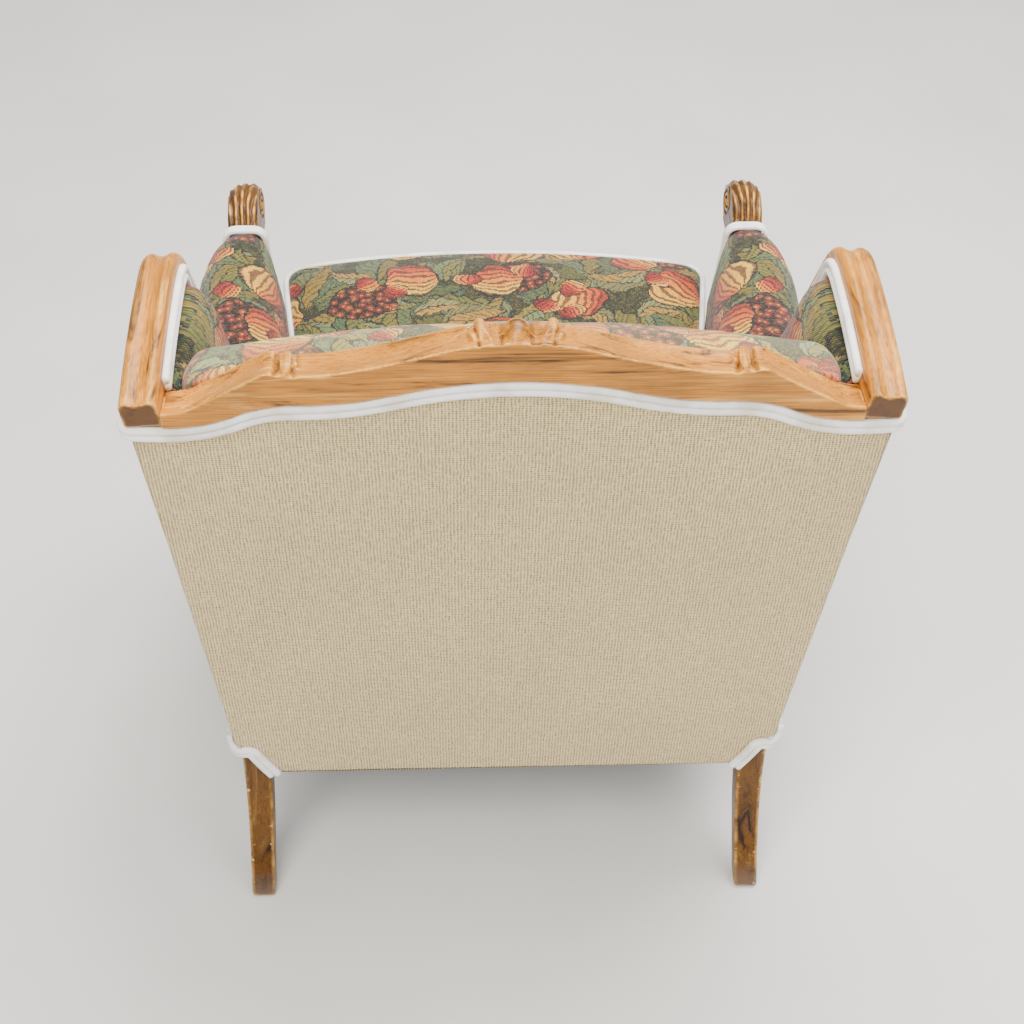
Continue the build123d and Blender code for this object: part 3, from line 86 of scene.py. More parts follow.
CUSHION_HALF, CUSHION_SLIM, CUSHION_BOW, CUSHION_CORNER = 281.0, 215.0, 37.0, 30.0

# Stuffing: where a feeler starts inside the skin and how far it reaches, in metres; rows of mesh that a
# seam holds and that a crown takes to rise
HOLD_FROM, HOLD_REACH = 0.0015, 0.014
SEAM_ROUNDS, DOME_ROUNDS = 4, 14

# Cloth: spacing of the twill and size of a berry, in metres; the middle of a noise colour
TWILL, BERRY, MIDDLE = 0.0021, 0.0115, (0.5, 0.5, 0.5)

# Leaves of the tapestry: scale, shift, width and share of each layer, its tones and its far half
LEAVES = (
    (1.25, (3.3, 1.7, 0.0), 0.42, 1.0, ("#76803C", "#8E9142", "#6A8056", "#9A9644"), "#3F7686"),
    (1.35, (7.9, 4.4, 0.0), 0.34, 1.0, ("#9A9640", "#86904A", "#A89C44", "#7A8C58"), "#5A94A4"),
    (1.5, (1.2, 9.6, 0.0), 0.29, 1.0, ("#AFA24C", "#949846", "#BCA854", "#86935E"), "#4E8690"),
    (1.75, (5.5, 6.1, 0.0), 0.24, 0.75, ("#9CA054", "#C2AC5C", "#A6A046", "#8C9A72"), "#7FB0B4"),
)
# Fruit of the tapestry: scale, shift, radius and share, and its tones from the lit side to the far one
# and its strokes; the one without tones is the berries
FRUITS = (
    (1.0, (2.4, 8.2, 0.0), 0.37, 0.74, ()),
    (1.02, (6.7, 3.1, 0.0), 0.35, 1.0, ("#E6D27C", "#F0CE66", "#EAA83C", "#DE7A28", "#B4481E", "#6A3F22")),
    (1.6, (9.1, 0.6, 0.0), 0.25, 0.55, ("#F0D284", "#E6A048", "#CC5030", "#AE302C", "#802428", "#5E1C22")),
)

# Lights: name, place, aim, size, power and colour; then the place, turn and lens of the camera
LIGHTS = (
    ("key", (0.9, 1.9, 3.0), (0.0, 0.1, 0.6), 1.8, 118.0, (1.0, 0.96, 0.90)),
    ("overhead", (-0.6, -0.6, 3.2), (0.0, 0.0, 0.5), 2.4, 225.0, (1.0, 0.98, 0.95)),
    ("fill", (-2.4, 2.6, 1.6), (0.0, 0.2, 0.5), 2.2, 56.0, (0.94, 0.97, 1.0)),
)
CAMERA_AT, CAMERA_TURN, CAMERA_LENS = (0.056, 1.624, 1.862), (-2.469, 42.858, 0.929), 62.35


def linear(code):
    """Linear colour of an sRGB hex value."""
    parts = [int(code[i : i + 2], 16) / 255 for i in (1, 3, 5)]
    return [c / 12.92 if c <= 0.04045 else ((c + 0.055) / 1.055) ** 2.4 for c in parts] + [1.0]


def tint(title, text, code):
    """A colour that a user may change."""
    return FloatVectorProperty(
        name=title, description=text, subtype="COLOR", size=4, min=0, max=1, default=linear(code)
    )


def length(title, text, default):
    """A length that a user may change, in metres."""
    return FloatProperty(name=title, description=text, unit="LENGTH", precision=4, min=0, default=default)


class BergereColours(bpy.types.PropertyGroup):
    """Colours of the chair's finishes."""

    wood: tint("Wood", "Honey tone of the show wood", "#C67E20")
    wood_pale: tint("Pale wood", "Sapwood streaks and worn edges", "#EEAF52")
    # wood_deep colours the grain lines and the end grain; the dark in the hollows is painted shade mixed in
    # honey_fruitwood
    wood_deep: tint("Deep wood", "Grain lines and lacquer in the hollows", "#4A2B0A")
    raw_wood: tint("Raw wood", "Hidden hardwood frame", "#C5A375")
    cloth: tint("Plain cloth", "Weave of the outside back and sides", "#D6BE8A")
    # cloth_deep is the painted shade in the gaps between the threads
    cloth_deep: tint("Plain cloth shade", "Gaps between the threads", "#46371A")
    welt: tint("Welt", "Ivory cloth of the cords", "#F7F6F3")
    ground: tint("Tapestry ground", "Dark thread between the leaves", "#55603A")
    outline: tint("Tapestry outline", "Navy thread round each motif", "#262E38")
    floor: tint("Floor", "Pale studio floor", "#DEDCD8")


class BergereSizes(bpy.types.PropertyGroup):
    """Sizes of threads, cords and stuffing."""

    thread: length("Thread", "Spacing of the plain weave, drawn coarse enough to show", 0.0034)
    stitch: length("Stitch", "Width of one tapestry stitch, drawn coarse enough to show", 0.0015)
    motif: length("Motif", "Spacing of the large fruits in the tapestry", 0.122)
    cord: length("Cord", "Radius of one cord of the double welt", 0.0044)
    piping: length("Piping", "Radius of the cushion piping", 0.0036)
    voxel: length("Pad mesh", "Mesh size of the stuffed pads", 0.006)
    swell: length("Swell", "Most that a pad may swell when stuffed", 0.012)
    pressure: FloatProperty(name="Stuffing", description="Pressure of the stuffing", min=0, default=4.0)
    frames: IntProperty(name="Settling", description="Frames the stuffing settles for", min=1, default=20)


# Mesh helpers, in millimetres


def points(mesh):
    """Vertices of a mesh."""
    co = np.empty(len(mesh.vertices) * 3)
    mesh.vertices.foreach_get("co", co)
    return co.reshape(-1, 3) * 1000


def place(mesh, co):
    """Puts the vertices of a mesh at co."""
    mesh.vertices.foreach_set("co", (np.asarray(co) / 1000).ravel())
    mesh.update()


def facing(mesh):
    """Vertex normals of a mesh."""
    out = np.empty(len(mesh.vertices) * 3)
    mesh.vertex_normals.foreach_get("vector", out)
    return out.reshape(-1, 3)


def ease(low, high, value):
    """Smooth step from 0 at low to 1 at high."""
    t = np.clip((value - low) / (high - low), 0, 1)
    return t * t * (3 - 2 * t)


def on_back(u, v, w=0.0):
    """Point in the plane of the back posts: across, up and forward."""
    return BACK_AT + u * ALONG_X + v * BACK_UP + w * BACK_FRONT


def on_side(y, t, w=0.0):
    """Point in the plane of the left outside panels: along, up and out."""
    return SIDE_AT + y * ALONG_Y + t * SIDE_UP + w * SIDE_OUT


def rise(z):
    """Distance up the leaning back for a height."""
    return (z - RAIL_TOP) / math.cos(LEAN)


def climb(z):
    """Distance up the flared side for a height."""
    return (z - RAIL_TOP) / math.cos(FLARE)


def side_x(z):
    """Half width over the outside panels at a height."""
    return SIDE_AT[0] + (z - RAIL_TOP) * math.tan(FLARE)


def new_piece(name, mesh, body, slot, material, *stands_for):
    """A finished piece that rides on a body and stands for frame nodes."""
    obj = bpy.data.objects.new(name, mesh)
    bpy.context.scene.collection.objects.link(obj)
    mesh.materials.clear()
    mesh.materials.append(material)
    mesh.polygons.foreach_set("use_smooth", [True] * len(mesh.polygons))
    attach(obj, body)
    if stands_for:
        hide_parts(*stands_for)
    return obj


def opened(node):
    """Closed copy of a frame node, open to edits."""
    made = bmesh.new()
    made.from_mesh(NODES[node].data)
    bmesh.ops.remove_doubles(made, verts=made.verts, dist=WELD)
    return made


def settled(made, name):
    """Mesh of edited geometry, without materials."""
    mesh = bpy.data.meshes.new(name)
    made.to_mesh(mesh)
    made.free()
    mesh.materials.clear()
    return mesh


def welded(node):
    """Closed copy of a frame node's mesh."""
    return settled(opened(node), node + "_copy")


def run_through(mesh, *stack):
    """Mesh after a stack of modifiers, each given as its kind and settings."""
    obj = bpy.data.objects.new("work", mesh)
    bpy.context.scene.collection.objects.link(obj)
    for kind, settings in stack:
        modifier = obj.modifiers.new(kind, kind)
        for key, value in settings.items():
            setattr(modifier, key, value)
    graph = bpy.context.evaluated_depsgraph_get()
    made = bpy.data.meshes.new_from_object(obj.evaluated_get(graph))
    bpy.data.objects.remove(obj)
    bpy.data.meshes.remove(mesh)
    return made


def joined(*meshes):
    """Several meshes as one."""
    made = bmesh.new()
    for mesh in meshes:
        made.from_mesh(mesh)
        bpy.data.meshes.remove(mesh)
    return settled(made, "joined")


def mirrored(mesh):
    """Mesh on the other side of the chair."""
    twin = mesh.copy()
    twin.transform(Matrix.Scale(-1, 4, Vector((1, 0, 0))))
    twin.flip_normals()
    return twin


def both(mesh):
    """A left-hand mesh and its twin, each with the name of its side."""
    return zip(SIDES, (mesh, mirrored(mesh)))


def smoothed(rounds):
    """Modifier that evens out a surface."""
    return ("SMOOTH", {"factor": 0.5, "iterations": rounds})


def handled(mesh, voxel, rounds=4):
    """Solid wood with its edges rounded over by sanding and handling."""
    skin = ("REMESH", {"mode": "VOXEL", "voxel_size": voxel / 1000, "adaptivity": 0.0})
    return run_through(mesh, skin, smoothed(rounds))


def shell(name, co, faces, weld=False):
    """Mesh of points and faces with its normals turned out."""
    mesh = bpy.data.meshes.new(name)
    mesh.from_pydata([tuple(c) for c in np.asarray(co) / 1000], [], faces)
    made = bmesh.new()
    made.from_mesh(mesh)
    if weld:
        bmesh.ops.remove_doubles(made, verts=made.verts, dist=WELD)
    bmesh.ops.recalc_face_normals(made, faces=made.faces)
    made.to_mesh(mesh)
    made.free()
    return mesh


def egg(centre, radii, turn=0.0):
    """Carved bud: an egg turned in the plane of the back."""
    rows, rings = 20, 32
    co, faces = [], []
    for i in range(rows + 1):
        a = math.pi * i / rows
        for j in range(rings):
            b = 2 * math.pi * j / rings
            p, q = radii[0] * math.cos(a), radii[1] * math.sin(a) * math.cos(b)
            u, v = p * math.cos(turn) - q * math.sin(turn), p * math.sin(turn) + q * math.cos(turn)
            co.append(on_back(*(np.array(centre) + (u, v, radii[2] * math.sin(a) * math.sin(b)))))
    for i in range(rows):
        for j in range(rings):
            k = (j + 1) % rings
            faces.append((i * rings + j, i * rings + k, (i + 1) * rings + k, (i + 1) * rings + j))
    return shell("egg", co, faces, weld=True)


def cloth_map(mesh, rule):
    """Lays the cloth on a mesh: rule gives each vertex its place on the flat cloth, in metres."""
    flat = np.asarray(rule(points(mesh), facing(mesh))) / 1000
    layer = mesh.uv_layers.get("cloth") or mesh.uv_layers.new(name="cloth")
    corner = np.empty(len(mesh.loops), np.int64)
    mesh.loops.foreach_get("vertex_index", corner)
    layer.data.foreach_set("uv", flat[corner].astype(np.float32).ravel())


def bent(start, end, heading, steps=16):
    """Points on the arc that leaves start along heading and ends at end, and the heading there."""
    run = math.hypot(end[0] - start[0], end[1] - start[1])
    chord = math.atan2(end[1] - start[1], end[0] - start[0])
    turn = math.remainder(heading - chord, 2 * math.pi)
    out = []
    for i in range(1, steps + 1):
        s = i / steps
        if abs(turn) < 1e-6:
            out.append((start[0] + s * (end[0] - start[0]), start[1] + s * (end[1] - start[1])))
            continue
        scale = run / (2 * math.sin(turn))
        a = heading - 2 * turn * s
        out.append((start[0] + scale * (math.sin(heading) - math.sin(a)),
                    start[1] + scale * (math.cos(a) - math.cos(heading))))
    return out, heading - 2 * turn


def arc_line(marks, heading):
    """Points along arcs through the marks, each tangent to the one before."""
    line = [marks[0]]
    for start, end in zip(marks, marks[1:]):
        more, heading = bent(start, end, heading)
        line += more
    return line


def swing(start, corner, end):
    """Points on the curve from start to end that is drawn toward a corner."""
    return [(1 - s) ** 2 * start + 2 * s * (1 - s) * corner + s * s * end for s in np.linspace(0, 1, 9)]


def rounded(marks, radius, closed=False):
    """Points along straight runs whose corners are eased by radius."""
    marks = [np.array(m, float) for m in marks]
    line = [] if closed else [marks[0]]
    count = len(marks)
    for i in range(0 if closed else 1, count if closed else count - 1):
        a, b, c = marks[i - 1], marks[i], marks[(i + 1) % count]
        back, on = a - b, c - b
        reach = min(radius, np.linalg.norm(back) / 2.2, np.linalg.norm(on) / 2.2)
        line += swing(b + back / np.linalg.norm(back) * reach, b, b + on / np.linalg.norm(on) * reach)
    return line if closed else line + [marks[-1]]


def run_length(line):
    """Distance of each point along a line."""
    return np.concatenate(([0], np.cumsum(np.linalg.norm(np.diff(line, axis=0), axis=1))))


def evenly(line, step, closed=False):
    """Points spaced evenly along a line."""
    line = np.array(line + [line[0]] if closed else line, float)
    reach = run_length(line)
    count = max(int(reach[-1] / step), 4)
    at = np.linspace(0, reach[-1], count + 1)
    if closed:
        at = at[:-1]
    return np.stack([np.interp(at, reach, line[:, k]) for k in range(line.shape[1])], axis=1)


def carried(name, section, path, out, closed=False):
    """Section of a cord carried along a path; its cloth map runs along and around the cord."""
    path, out, section = (np.asarray(part, float) for part in (path, out, section))
    heading = np.roll(path, -1, 0) - np.roll(path, 1, 0) if closed else np.gradient(path, axis=0)
    heading /= np.linalg.norm(heading, axis=1)[:, None]
    out = out - (out * heading).sum(1)[:, None] * heading
    out /= np.linalg.norm(out, axis=1)[:, None]
    across = np.cross(out, heading)
    ring, rows = len(section), len(path)
    co = path[:, None] + section[None, :, :1] * across[:, None] + section[None, :, 1:] * out[:, None]
    faces = []
    for i in range(rows if closed else rows - 1):
        n = (i + 1) % rows
        for j in range(ring):
            k = (j + 1) % ring
            faces.append((i * ring + j, n * ring + j, n * ring + k, i * ring + k))
    if not closed:
        faces.append(tuple(range(ring)))
        faces.append(tuple((rows - 1) * ring + j for j in reversed(range(ring))))
    mesh = shell(name, co.reshape(-1, 3), faces)
    flat = np.broadcast_arrays(run_length(path)[:, None], run_length(section)[None])
    cloth_map(mesh, lambda co, n: np.stack(flat, axis=-1).reshape(-1, 2))
    return mesh


def double_cord(radius):
    """Section of a double welt: two cords side by side on a flat tape."""
    rest, apart = 0.62 * radius, 1.02 * radius
    section = []
    for middle in (apart, -apart):
        low, high = math.radians(-38), math.radians(218)
        if middle > 0:
            high = math.radians(185)
        else:
            low = math.radians(-5)
        for a in np.linspace(low, high, 13):
            section.append((middle + radius * math.cos(a), rest + radius * math.sin(a)))
    return section


def one_cord(radius):
    """Section of a single piping cord."""
    turns = np.linspace(0, 2 * math.pi, 16, endpoint=False)
    return [(radius * math.cos(a), radius * math.sin(a)) for a in turns]


def nestled(plan, z, way, tree, lift):
    """Plan of a closed cord at height z, laid on the edge of a cover that faces out and up or down."""
    heading = np.roll(plan, -1, 0) - np.roll(plan, 1, 0)
    out = np.column_stack((heading[:, 1], -heading[:, 0])) / np.linalg.norm(heading, axis=1)[:, None]
    out = np.column_stack((out, np.full(len(plan), way))) / math.sqrt(2)
    path = np.column_stack((plan, np.full(len(plan), z)))
    for i, (p, o) in enumerate(zip(path, out)):
        hit = tree.ray_cast(Vector((p + 40 * o) / 1000), Vector(-o), 0.08)[0]
        if hit is not None:
            path[i] = np.array(hit) * 1000 + lift * o
    for _ in range(4):
        path = (np.roll(path, 1, 0) + 2 * path + np.roll(path, -1, 0)) / 4
    return path


def gridded(node, step, normal, puff, roll, grow=30.0):
    """Taut cloth panel: the node cut into a grid, its face puffed and its edges rolled over."""
    made = opened(node)
    normal = np.array(normal, float)
    low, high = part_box(node)
    for axis in range(3):
        if abs(normal[axis]) > 0.8:
            continue
        count = max(int((high[axis] - low[axis]) * 1000 / step), 1)
        for i in range(1, count):
            at, cut = Vector((0, 0, 0)), Vector((0, 0, 0))
            at[axis] = low[axis] + (high[axis] - low[axis]) * i / count
            cut[axis] = 1
            whole = made.verts[:] + made.edges[:] + made.faces[:]
            bmesh.ops.bisect_plane(made, geom=whole, plane_co=at, plane_no=cut, dist=WELD)
    bmesh.ops.recalc_face_normals(made, faces=made.faces)
    rims = [e for e in made.edges if len(e.link_faces) == 2 and e.calc_face_angle(0) > 0.6]
    outer = {v.index for f in made.faces if np.dot(f.normal, normal) > 0.9 for v in f.verts}
    marks = []
    for e in rims:
        a, b = e.verts[0].co, e.verts[1].co
        for s in np.linspace(0, 1, max(int(e.calc_length() * 1000 / 4), 2)):
            marks.append(a.lerp(b, s))
    tree = KDTree(len(marks))
    for i, m in enumerate(marks):
        tree.insert(m, i)
    tree.balance()
    mesh = settled(made, node + "_panel")
    co = points(mesh)
    for i in outer:
        gap = tree.find(Vector(co[i] / 1000))[2] * 1000
        near = min(gap / roll, 1)
        drop = roll * 0.55 * (1 - math.sqrt(max(0, 1 - (1 - near) ** 2)))
        co[i] += normal * (puff * (1 - math.exp(-gap / grow)) - drop)
    place(mesh, co)
    return mesh


def neighbours(*skip):
    """Tree of every frame node but the skipped ones."""
    co, tris = [], []
    for name, node in NODES.items():
        if name in skip:
            continue
        start = len(co)
        co += [v.co.copy() for v in node.data.vertices]
        tris += [tuple(start + k for k in p.vertices) for p in node.data.polygons]
    return BVHTree.FromPolygons(co, tris)


def stuffed(node, shrink=1.0, crown=0.0, easing=5, *skip):
    """Stuffed pad: the node's form as a fine skin, crowned and swelled by pressure where nothing holds it."""
    sizes = bpy.context.scene.bergere_sizes
    mesh = handled(welded(node), sizes.voxel * 1000, easing)
    rest, normal = points(mesh), facing(mesh)
    tree, count = neighbours(node, *skip), len(rest)
    free = np.ones(count)
    for i, (p, n) in enumerate(zip(rest, normal)):
        hit = tree.ray_cast(Vector(p / 1000 - n * HOLD_FROM), Vector(n), HOLD_REACH)
        if hit[0] is not None:
            free[i] = 0.0
    edges = np.empty(len(mesh.edges) * 2, np.int64)
    mesh.edges.foreach_get("vertices", edges)
    a, b = edges.reshape(-1, 2).T
    degree = np.bincount(np.concatenate((a, b)), minlength=count)

    def around(value):
        """Sum of a value over the neighbours of each point."""
        return np.bincount(a, value[b], count) + np.bincount(b, value[a], count)

    for _ in range(SEAM_ROUNDS):
        free = np.minimum(free, around(free) / np.maximum(degree, 1))
    dome = free.copy()
    for _ in range(DOME_ROUNDS):
        dome = np.where(free > 0.05, (dome + around(dome)) / (degree + 1), 0.0)
    start = rest + normal * (crown * dome - shrink * free)[:, None]
    place(mesh, start)
    place(mesh, start + inflated(mesh, start, free, sizes))
    return run_through(mesh, ("SUBSURF", {"levels": 1, "render_levels": 1}))


def inflated(mesh, start, free, sizes):
    """How far each point of a skin moves under the pressure of its stuffing, capped."""
    scene = bpy.context.scene
    obj = bpy.data.objects.new("skin", mesh.copy())
    scene.collection.objects.link(obj)
    held = obj.vertex_groups.new(name="held")
    for i in np.flatnonzero(free < 0.35):
        held.add([int(i)], 1.0, "REPLACE")
    cloth = obj.modifiers.new("Cloth", "CLOTH")
    cloth.settings.use_pressure = True
    cloth.settings.uniform_pressure_force = sizes.pressure
    cloth.settings.effector_weights.gravity = 0
    cloth.settings.quality = 4
    cloth.settings.tension_stiffness = cloth.settings.compression_stiffness = 25
    cloth.settings.vertex_group_mass = "held"
    cloth.point_cache.frame_start, cloth.point_cache.frame_end = 1, sizes.frames
    for number in range(1, sizes.frames + 1):
        scene.frame_set(number)
    graph = bpy.context.evaluated_depsgraph_get()
    moved = bpy.data.meshes.new_from_object(obj.evaluated_get(graph))
    shift = points(moved) - start
    bpy.data.objects.remove(obj)
    bpy.data.meshes.remove(moved)
    scene.frame_set(1)
    reach = np.linalg.norm(shift, axis=1)
    cap = sizes.swell * 1000
    kept = cap * np.tanh(reach / cap) / np.maximum(reach, 1e-9)
    return shift * (kept * free)[:, None]


# Materials


def feed(tree, socket, value):
    """Gives an input its link or its value."""
    if isinstance(value, bpy.types.NodeSocket):
        tree.links.new(value, socket)
    elif value is not None:
        socket.default_value = value


def add(tree, kind, *ins, out=0, named=None, ramp=None, **settings):
    """Adds one node with its settings, and a link or a value for each input; gives an output."""
    node = tree.nodes.new(kind if kind.startswith("Node") else "ShaderNode" + kind)
    for key, value in settings.items():
        setattr(node, key, value)
    if ramp:
        while len(node.color_ramp.elements) < len(ramp):
            node.color_ramp.elements.new(1.0)
        for element, (at, colour) in zip(node.color_ramp.elements, ramp):
            element.position, element.color = at, colour
    for socket, value in zip(node.inputs, ins):
        feed(tree, socket, value)
    for key, value in (named or {}).items():
        feed(tree, node.inputs[key], value)
    return node.outputs[out] if node.outputs else node


def maths(tree, kind, *ins):
    """One sum on numbers."""
    return add(tree, "Math", *ins, operation=kind)


def vectors(tree, kind, *ins, **named):
    """One sum on vectors."""
    return add(tree, "VectorMath", *ins, operation=kind, named=named)


def paint(value):
    """Colour given as a hex code, as a grey or as itself."""
    if isinstance(value, str):
        return linear(value)
    return (value, value, value, 1.0) if isinstance(value, float) else value


def mix(tree, share, under, over, blend="MIX"):
    """Two colours mixed by a share."""
    return add(tree, "MixRGB", share, paint(under), paint(over), blend_type=blend)


def times(tree, tone, shade, share=1.0):
    """Colour darkened by a shade."""
    return mix(tree, share, tone, shade, "MULTIPLY")


def ramp(tree, value, *stops):
    """Colours that change over a value."""
    return add(tree, "ValToRGB", value, ramp=[(at, paint(tone)) for at, tone in stops])


def noise(tree, spot, scale, detail, **named):
    """Cloudy value over a place."""
    return add(tree, "TexNoise", named={"Vector": spot, "Scale": scale, "Detail": detail, **named})


def solid_place(tree):
    """Place inside the solid, in metres."""
    return add(tree, "TexCoord", out="Object")


def blank(name):
    """New material with its tree."""
    material = bpy.data.materials.new(name)
    material.use_nodes = True
    return material, material.node_tree


def dress(material, tone, rough, relief=(), **more):
    """Gives the surface its colour, roughness, relief (strength, depth and height) and other values."""
    tree = material.node_tree
    inputs = tree.nodes["Principled BSDF"].inputs
    feed(tree, inputs["Base Color"], tone)
    feed(tree, inputs["Roughness"], rough)
    if relief:
        named = dict(zip(("Strength", "Distance", "Height"), relief))
        feed(tree, inputs["Normal"], add(tree, "Bump", named=named))
    for key, value in more.items():
        feed(tree, inputs[key.replace("_", " ")], value)
    return material


def colours():
    """The user's colours."""
    return bpy.context.scene.bergere_colours


def honey_fruitwood(name, along, shade=1.0, chipped=0.0, end_grain=0.0):
    """Fruitwood, carved, stained honey brown and lacquered, then handled for years: streaked grain
    along the piece, painted shade in the hollows, pale worn edges and a satin shine."""
    material, t = blank(name)
    c, spot = colours(), solid_place(t)
    figure, fine = [46.0] * 3, [700.0] * 3
    figure[along], fine[along] = 3.4, 16.0
    figure = add(t, "Mapping", spot, named={"Scale": figure})
    streak = noise(t, figure, 1.0, 7.0, Roughness=0.66, Distortion=1.4)
    pore = noise(t, add(t, "Mapping", spot, named={"Scale": fine}), 1.0, 3.0)
    patch = noise(t, spot, 14.0, 4.0)
    tone = ramp(t, streak, (0.35, c.wood_deep), (0.46, c.wood), (0.56, c.wood), (0.70, c.wood_pale))
    tone = times(t, tone, ramp(t, pore, (0.36, 0.5), (0.52, 1.0)), 0.8)
    # shade scales the whole tone down; on the legs its low value is painted shade, a darker copy of the same
    # wood for their place under the seat
    tone = times(t, tone, ramp(t, patch, (0.3, 0.62 * shade), (0.7, 1.15 * shade)), 0.95)
    edge = add(t, "NewGeometry", out="Pointiness")
    if end_grain:
        rear = add(t, "SeparateXYZ", edge.node.outputs["Normal"], out="Y")
        tone = mix(t, ramp(t, rear, (0.80, 0.0), (0.90, end_grain)), tone, c.wood_deep)
    # Painted shade: the hollows, where the pointiness is low, are mixed toward dark brown
    hollow = ramp(t, edge, (0.41, 1.0), (0.488, 0.0))
    tone = mix(t, maths(t, "MULTIPLY", hollow, 0.9), tone, "#3A2009")
    rub = ramp(t, noise(t, spot, 55.0, 5.0), (0.40, 0.2), (0.60, 1.0))
    worn = maths(t, "MULTIPLY", ramp(t, edge, (0.512, 0.0), (0.55, 1.0)), rub)
    tone = mix(t, maths(t, "MULTIPLY", worn, 0.75), tone, c.wood_pale)
    if chipped:
        nick = ramp(t, noise(t, spot, 120.0, 4.0), (0.63, 0.0), (0.66, 1.0))
        nick = maths(t, "MULTIPLY", nick, ramp(t, edge, (0.503, 0.0), (0.52, 1.0)))
        tone = mix(t, maths(t, "MULTIPLY", nick, chipped), tone, "#D2B482")
        scuff = ramp(t, add(t, "SeparateXYZ", spot, out="Z"), (0.004, 0.55), (0.034, 0.0))
        tone = mix(t, scuff, tone, "#6B5F56")
    gloss = ramp(t, patch, (0.3, 0.28), (0.75, 0.46))
    lacquer = {"Specular_IOR_Level": 0.24, "Coat_Weight": 0.1, "Coat_Roughness": 0.14}
    return dress(material, tone, gloss, (0.12, 0.0006, pore), **lacquer)


def sawn_hardwood():
    """Hardwood as it leaves the saw: pale, dull, with fine saw lines and no finish."""
    material, t = blank("sawn_hardwood")
    spot = solid_place(t)
    grain = noise(t, add(t, "Mapping", spot, named={"Scale": (9.0, 60.0, 60.0)}), 1.0, 6.0)
    saw = add(t, "TexWave", named={"Vector": spot, "Scale": 180.0, "Distortion": 3.0})
    tone = ramp(t, grain, (0.3, "#A98558"), (0.7, colours().raw_wood))
    return dress(material, tone, 0.82, (0.2, 0.0004, saw))


def basket_weave():
    """Cotton and jute upholstery cloth in basket weave: matt, with upright ribs darker between them by
    painted shade, a painted shade in the pinhole between each pair of crossings and a little slub in
    the yarn."""
    material, t = blank("cotton_basket_weave")
    c, pitch = colours(), bpy.context.scene.bergere_sizes.thread
    flat = add(t, "UVMap", uv_map="cloth")
    slub = noise(t, flat, 90.0, 2.0).node.outputs["Color"]
    slub = vectors(t, "SCALE", vectors(t, "SUBTRACT", slub, MIDDLE), Scale=pitch * 0.9)
    threads = vectors(t, "MULTIPLY", vectors(t, "ADD", flat, slub), (1 / pitch, 1.15 / pitch, 0.0))
    wave = vectors(t, "ABSOLUTE", vectors(t, "SINE", vectors(t, "SCALE", threads, Scale=math.pi)))
    u = add(t, "SeparateXYZ", wave)
    v = u.node.outputs["Y"]
    cross = vectors(t, "FLOOR", vectors(t, "ADD", threads, (0.5, 0.5, 0.0)))
    chance = add(t, "TexWhiteNoise", cross, noise_dimensions="2D")
    # Painted shade: a dark pinhole in the gap between each pair of crossings
    hole = ramp(t, maths(t, "MAXIMUM", u, v), (0.52, 1.0), (0.95, 0.0))
    hole = maths(t, "MULTIPLY", hole, ramp(t, chance, (0.0, 0.4), (0.7, 1.0)))
    tone = mix(t, hole, c.cloth, c.cloth_deep)
    # Painted shade: each rib is darker toward the groove between the ribs
    tone = times(t, tone, ramp(t, u, (0.0, 0.86), (0.6, 1.04)))
    tone = times(t, tone, ramp(t, chance.node.outputs["Color"], (0.2, 0.88), (0.8, 1.12)))
    soil = ramp(t, noise(t, flat, 5.0, 5.0), (0.3, (0.93, 0.91, 0.87, 1.0)), (0.7, 1.03))
    tone = times(t, tone, soil, 0.8)
    lift = maths(t, "ADD", u, maths(t, "MULTIPLY", v, 0.5))
    return dress(material, tone, 0.93, (0.4, 0.0008, lift), Sheen_Weight=0.2)


def ivory_welt():
    """Cotton bias strip sewn over cord: ivory, matt, with a slanting twill and a painted shade in the
    valley between the cords."""
    material, t = blank("ivory_cotton_welt")
    u = add(t, "SeparateXYZ", add(t, "UVMap", uv_map="cloth"))
    slant = maths(t, "MULTIPLY", maths(t, "ADD", u, u.node.outputs["Y"]), 2 * math.pi / TWILL)
    twill = maths(t, "MULTIPLY_ADD", maths(t, "SINE", slant), 0.5, 0.5)
    tone = ramp(t, noise(t, solid_place(t), 26.0, 5.0), (0.3, "#D8D0BE"), (0.55, colours().welt))
    tone = times(t, tone, ramp(t, twill, (0.0, 0.86), (0.6, 1.0)), 0.5)
    # Painted shade: the valley between the cords, where the pointiness is low, is darkened
    valley = ramp(t, add(t, "NewGeometry", out="Pointiness"), (0.40, 0.55), (0.49, 1.0))
    tone = times(t, tone, valley, 0.9)
    return dress(material, tone, 0.8, (0.3, 0.0004, twill), Sheen_Weight=0.15)


def plain_sheet(name, low, high, pitch):
    """Open or plain hidden cloth, such as jute, cotton decking or non-woven dust cloth: two crossed
    threads at their real spacing, with uneven yarn."""
    material, t = blank(name)
    spot = solid_place(t)
    x = add(t, "SeparateXYZ", vectors(t, "SINE", vectors(t, "SCALE", spot, Scale=math.pi / pitch)))
    knit = maths(t, "MULTIPLY_ADD", maths(t, "MULTIPLY", x, x.node.outputs["Y"]), x.node.outputs["Z"])
    mixed = maths(t, "ADD", maths(t, "MULTIPLY", knit, 0.2), noise(t, spot, 90.0, 4.0))
    return dress(material, ramp(t, mixed, (0.3, low), (0.7, high)), 0.9, (0.4, 0.0006, knit))


def oiled_wire():
    """Cold-drawn spring wire and screws: grey steel under a film of oil, with fine draw lines."""
    material, t = blank("oiled_steel_wire")
    lines = noise(t, solid_place(t), 900.0, 2.0)
    tone = ramp(t, lines, (0.3, "#5A5A5E"), (0.7, "#8C8C92"))
    return dress(material, tone, ramp(t, lines, (0.3, 0.3), (0.7, 0.5)), Metallic=1.0)


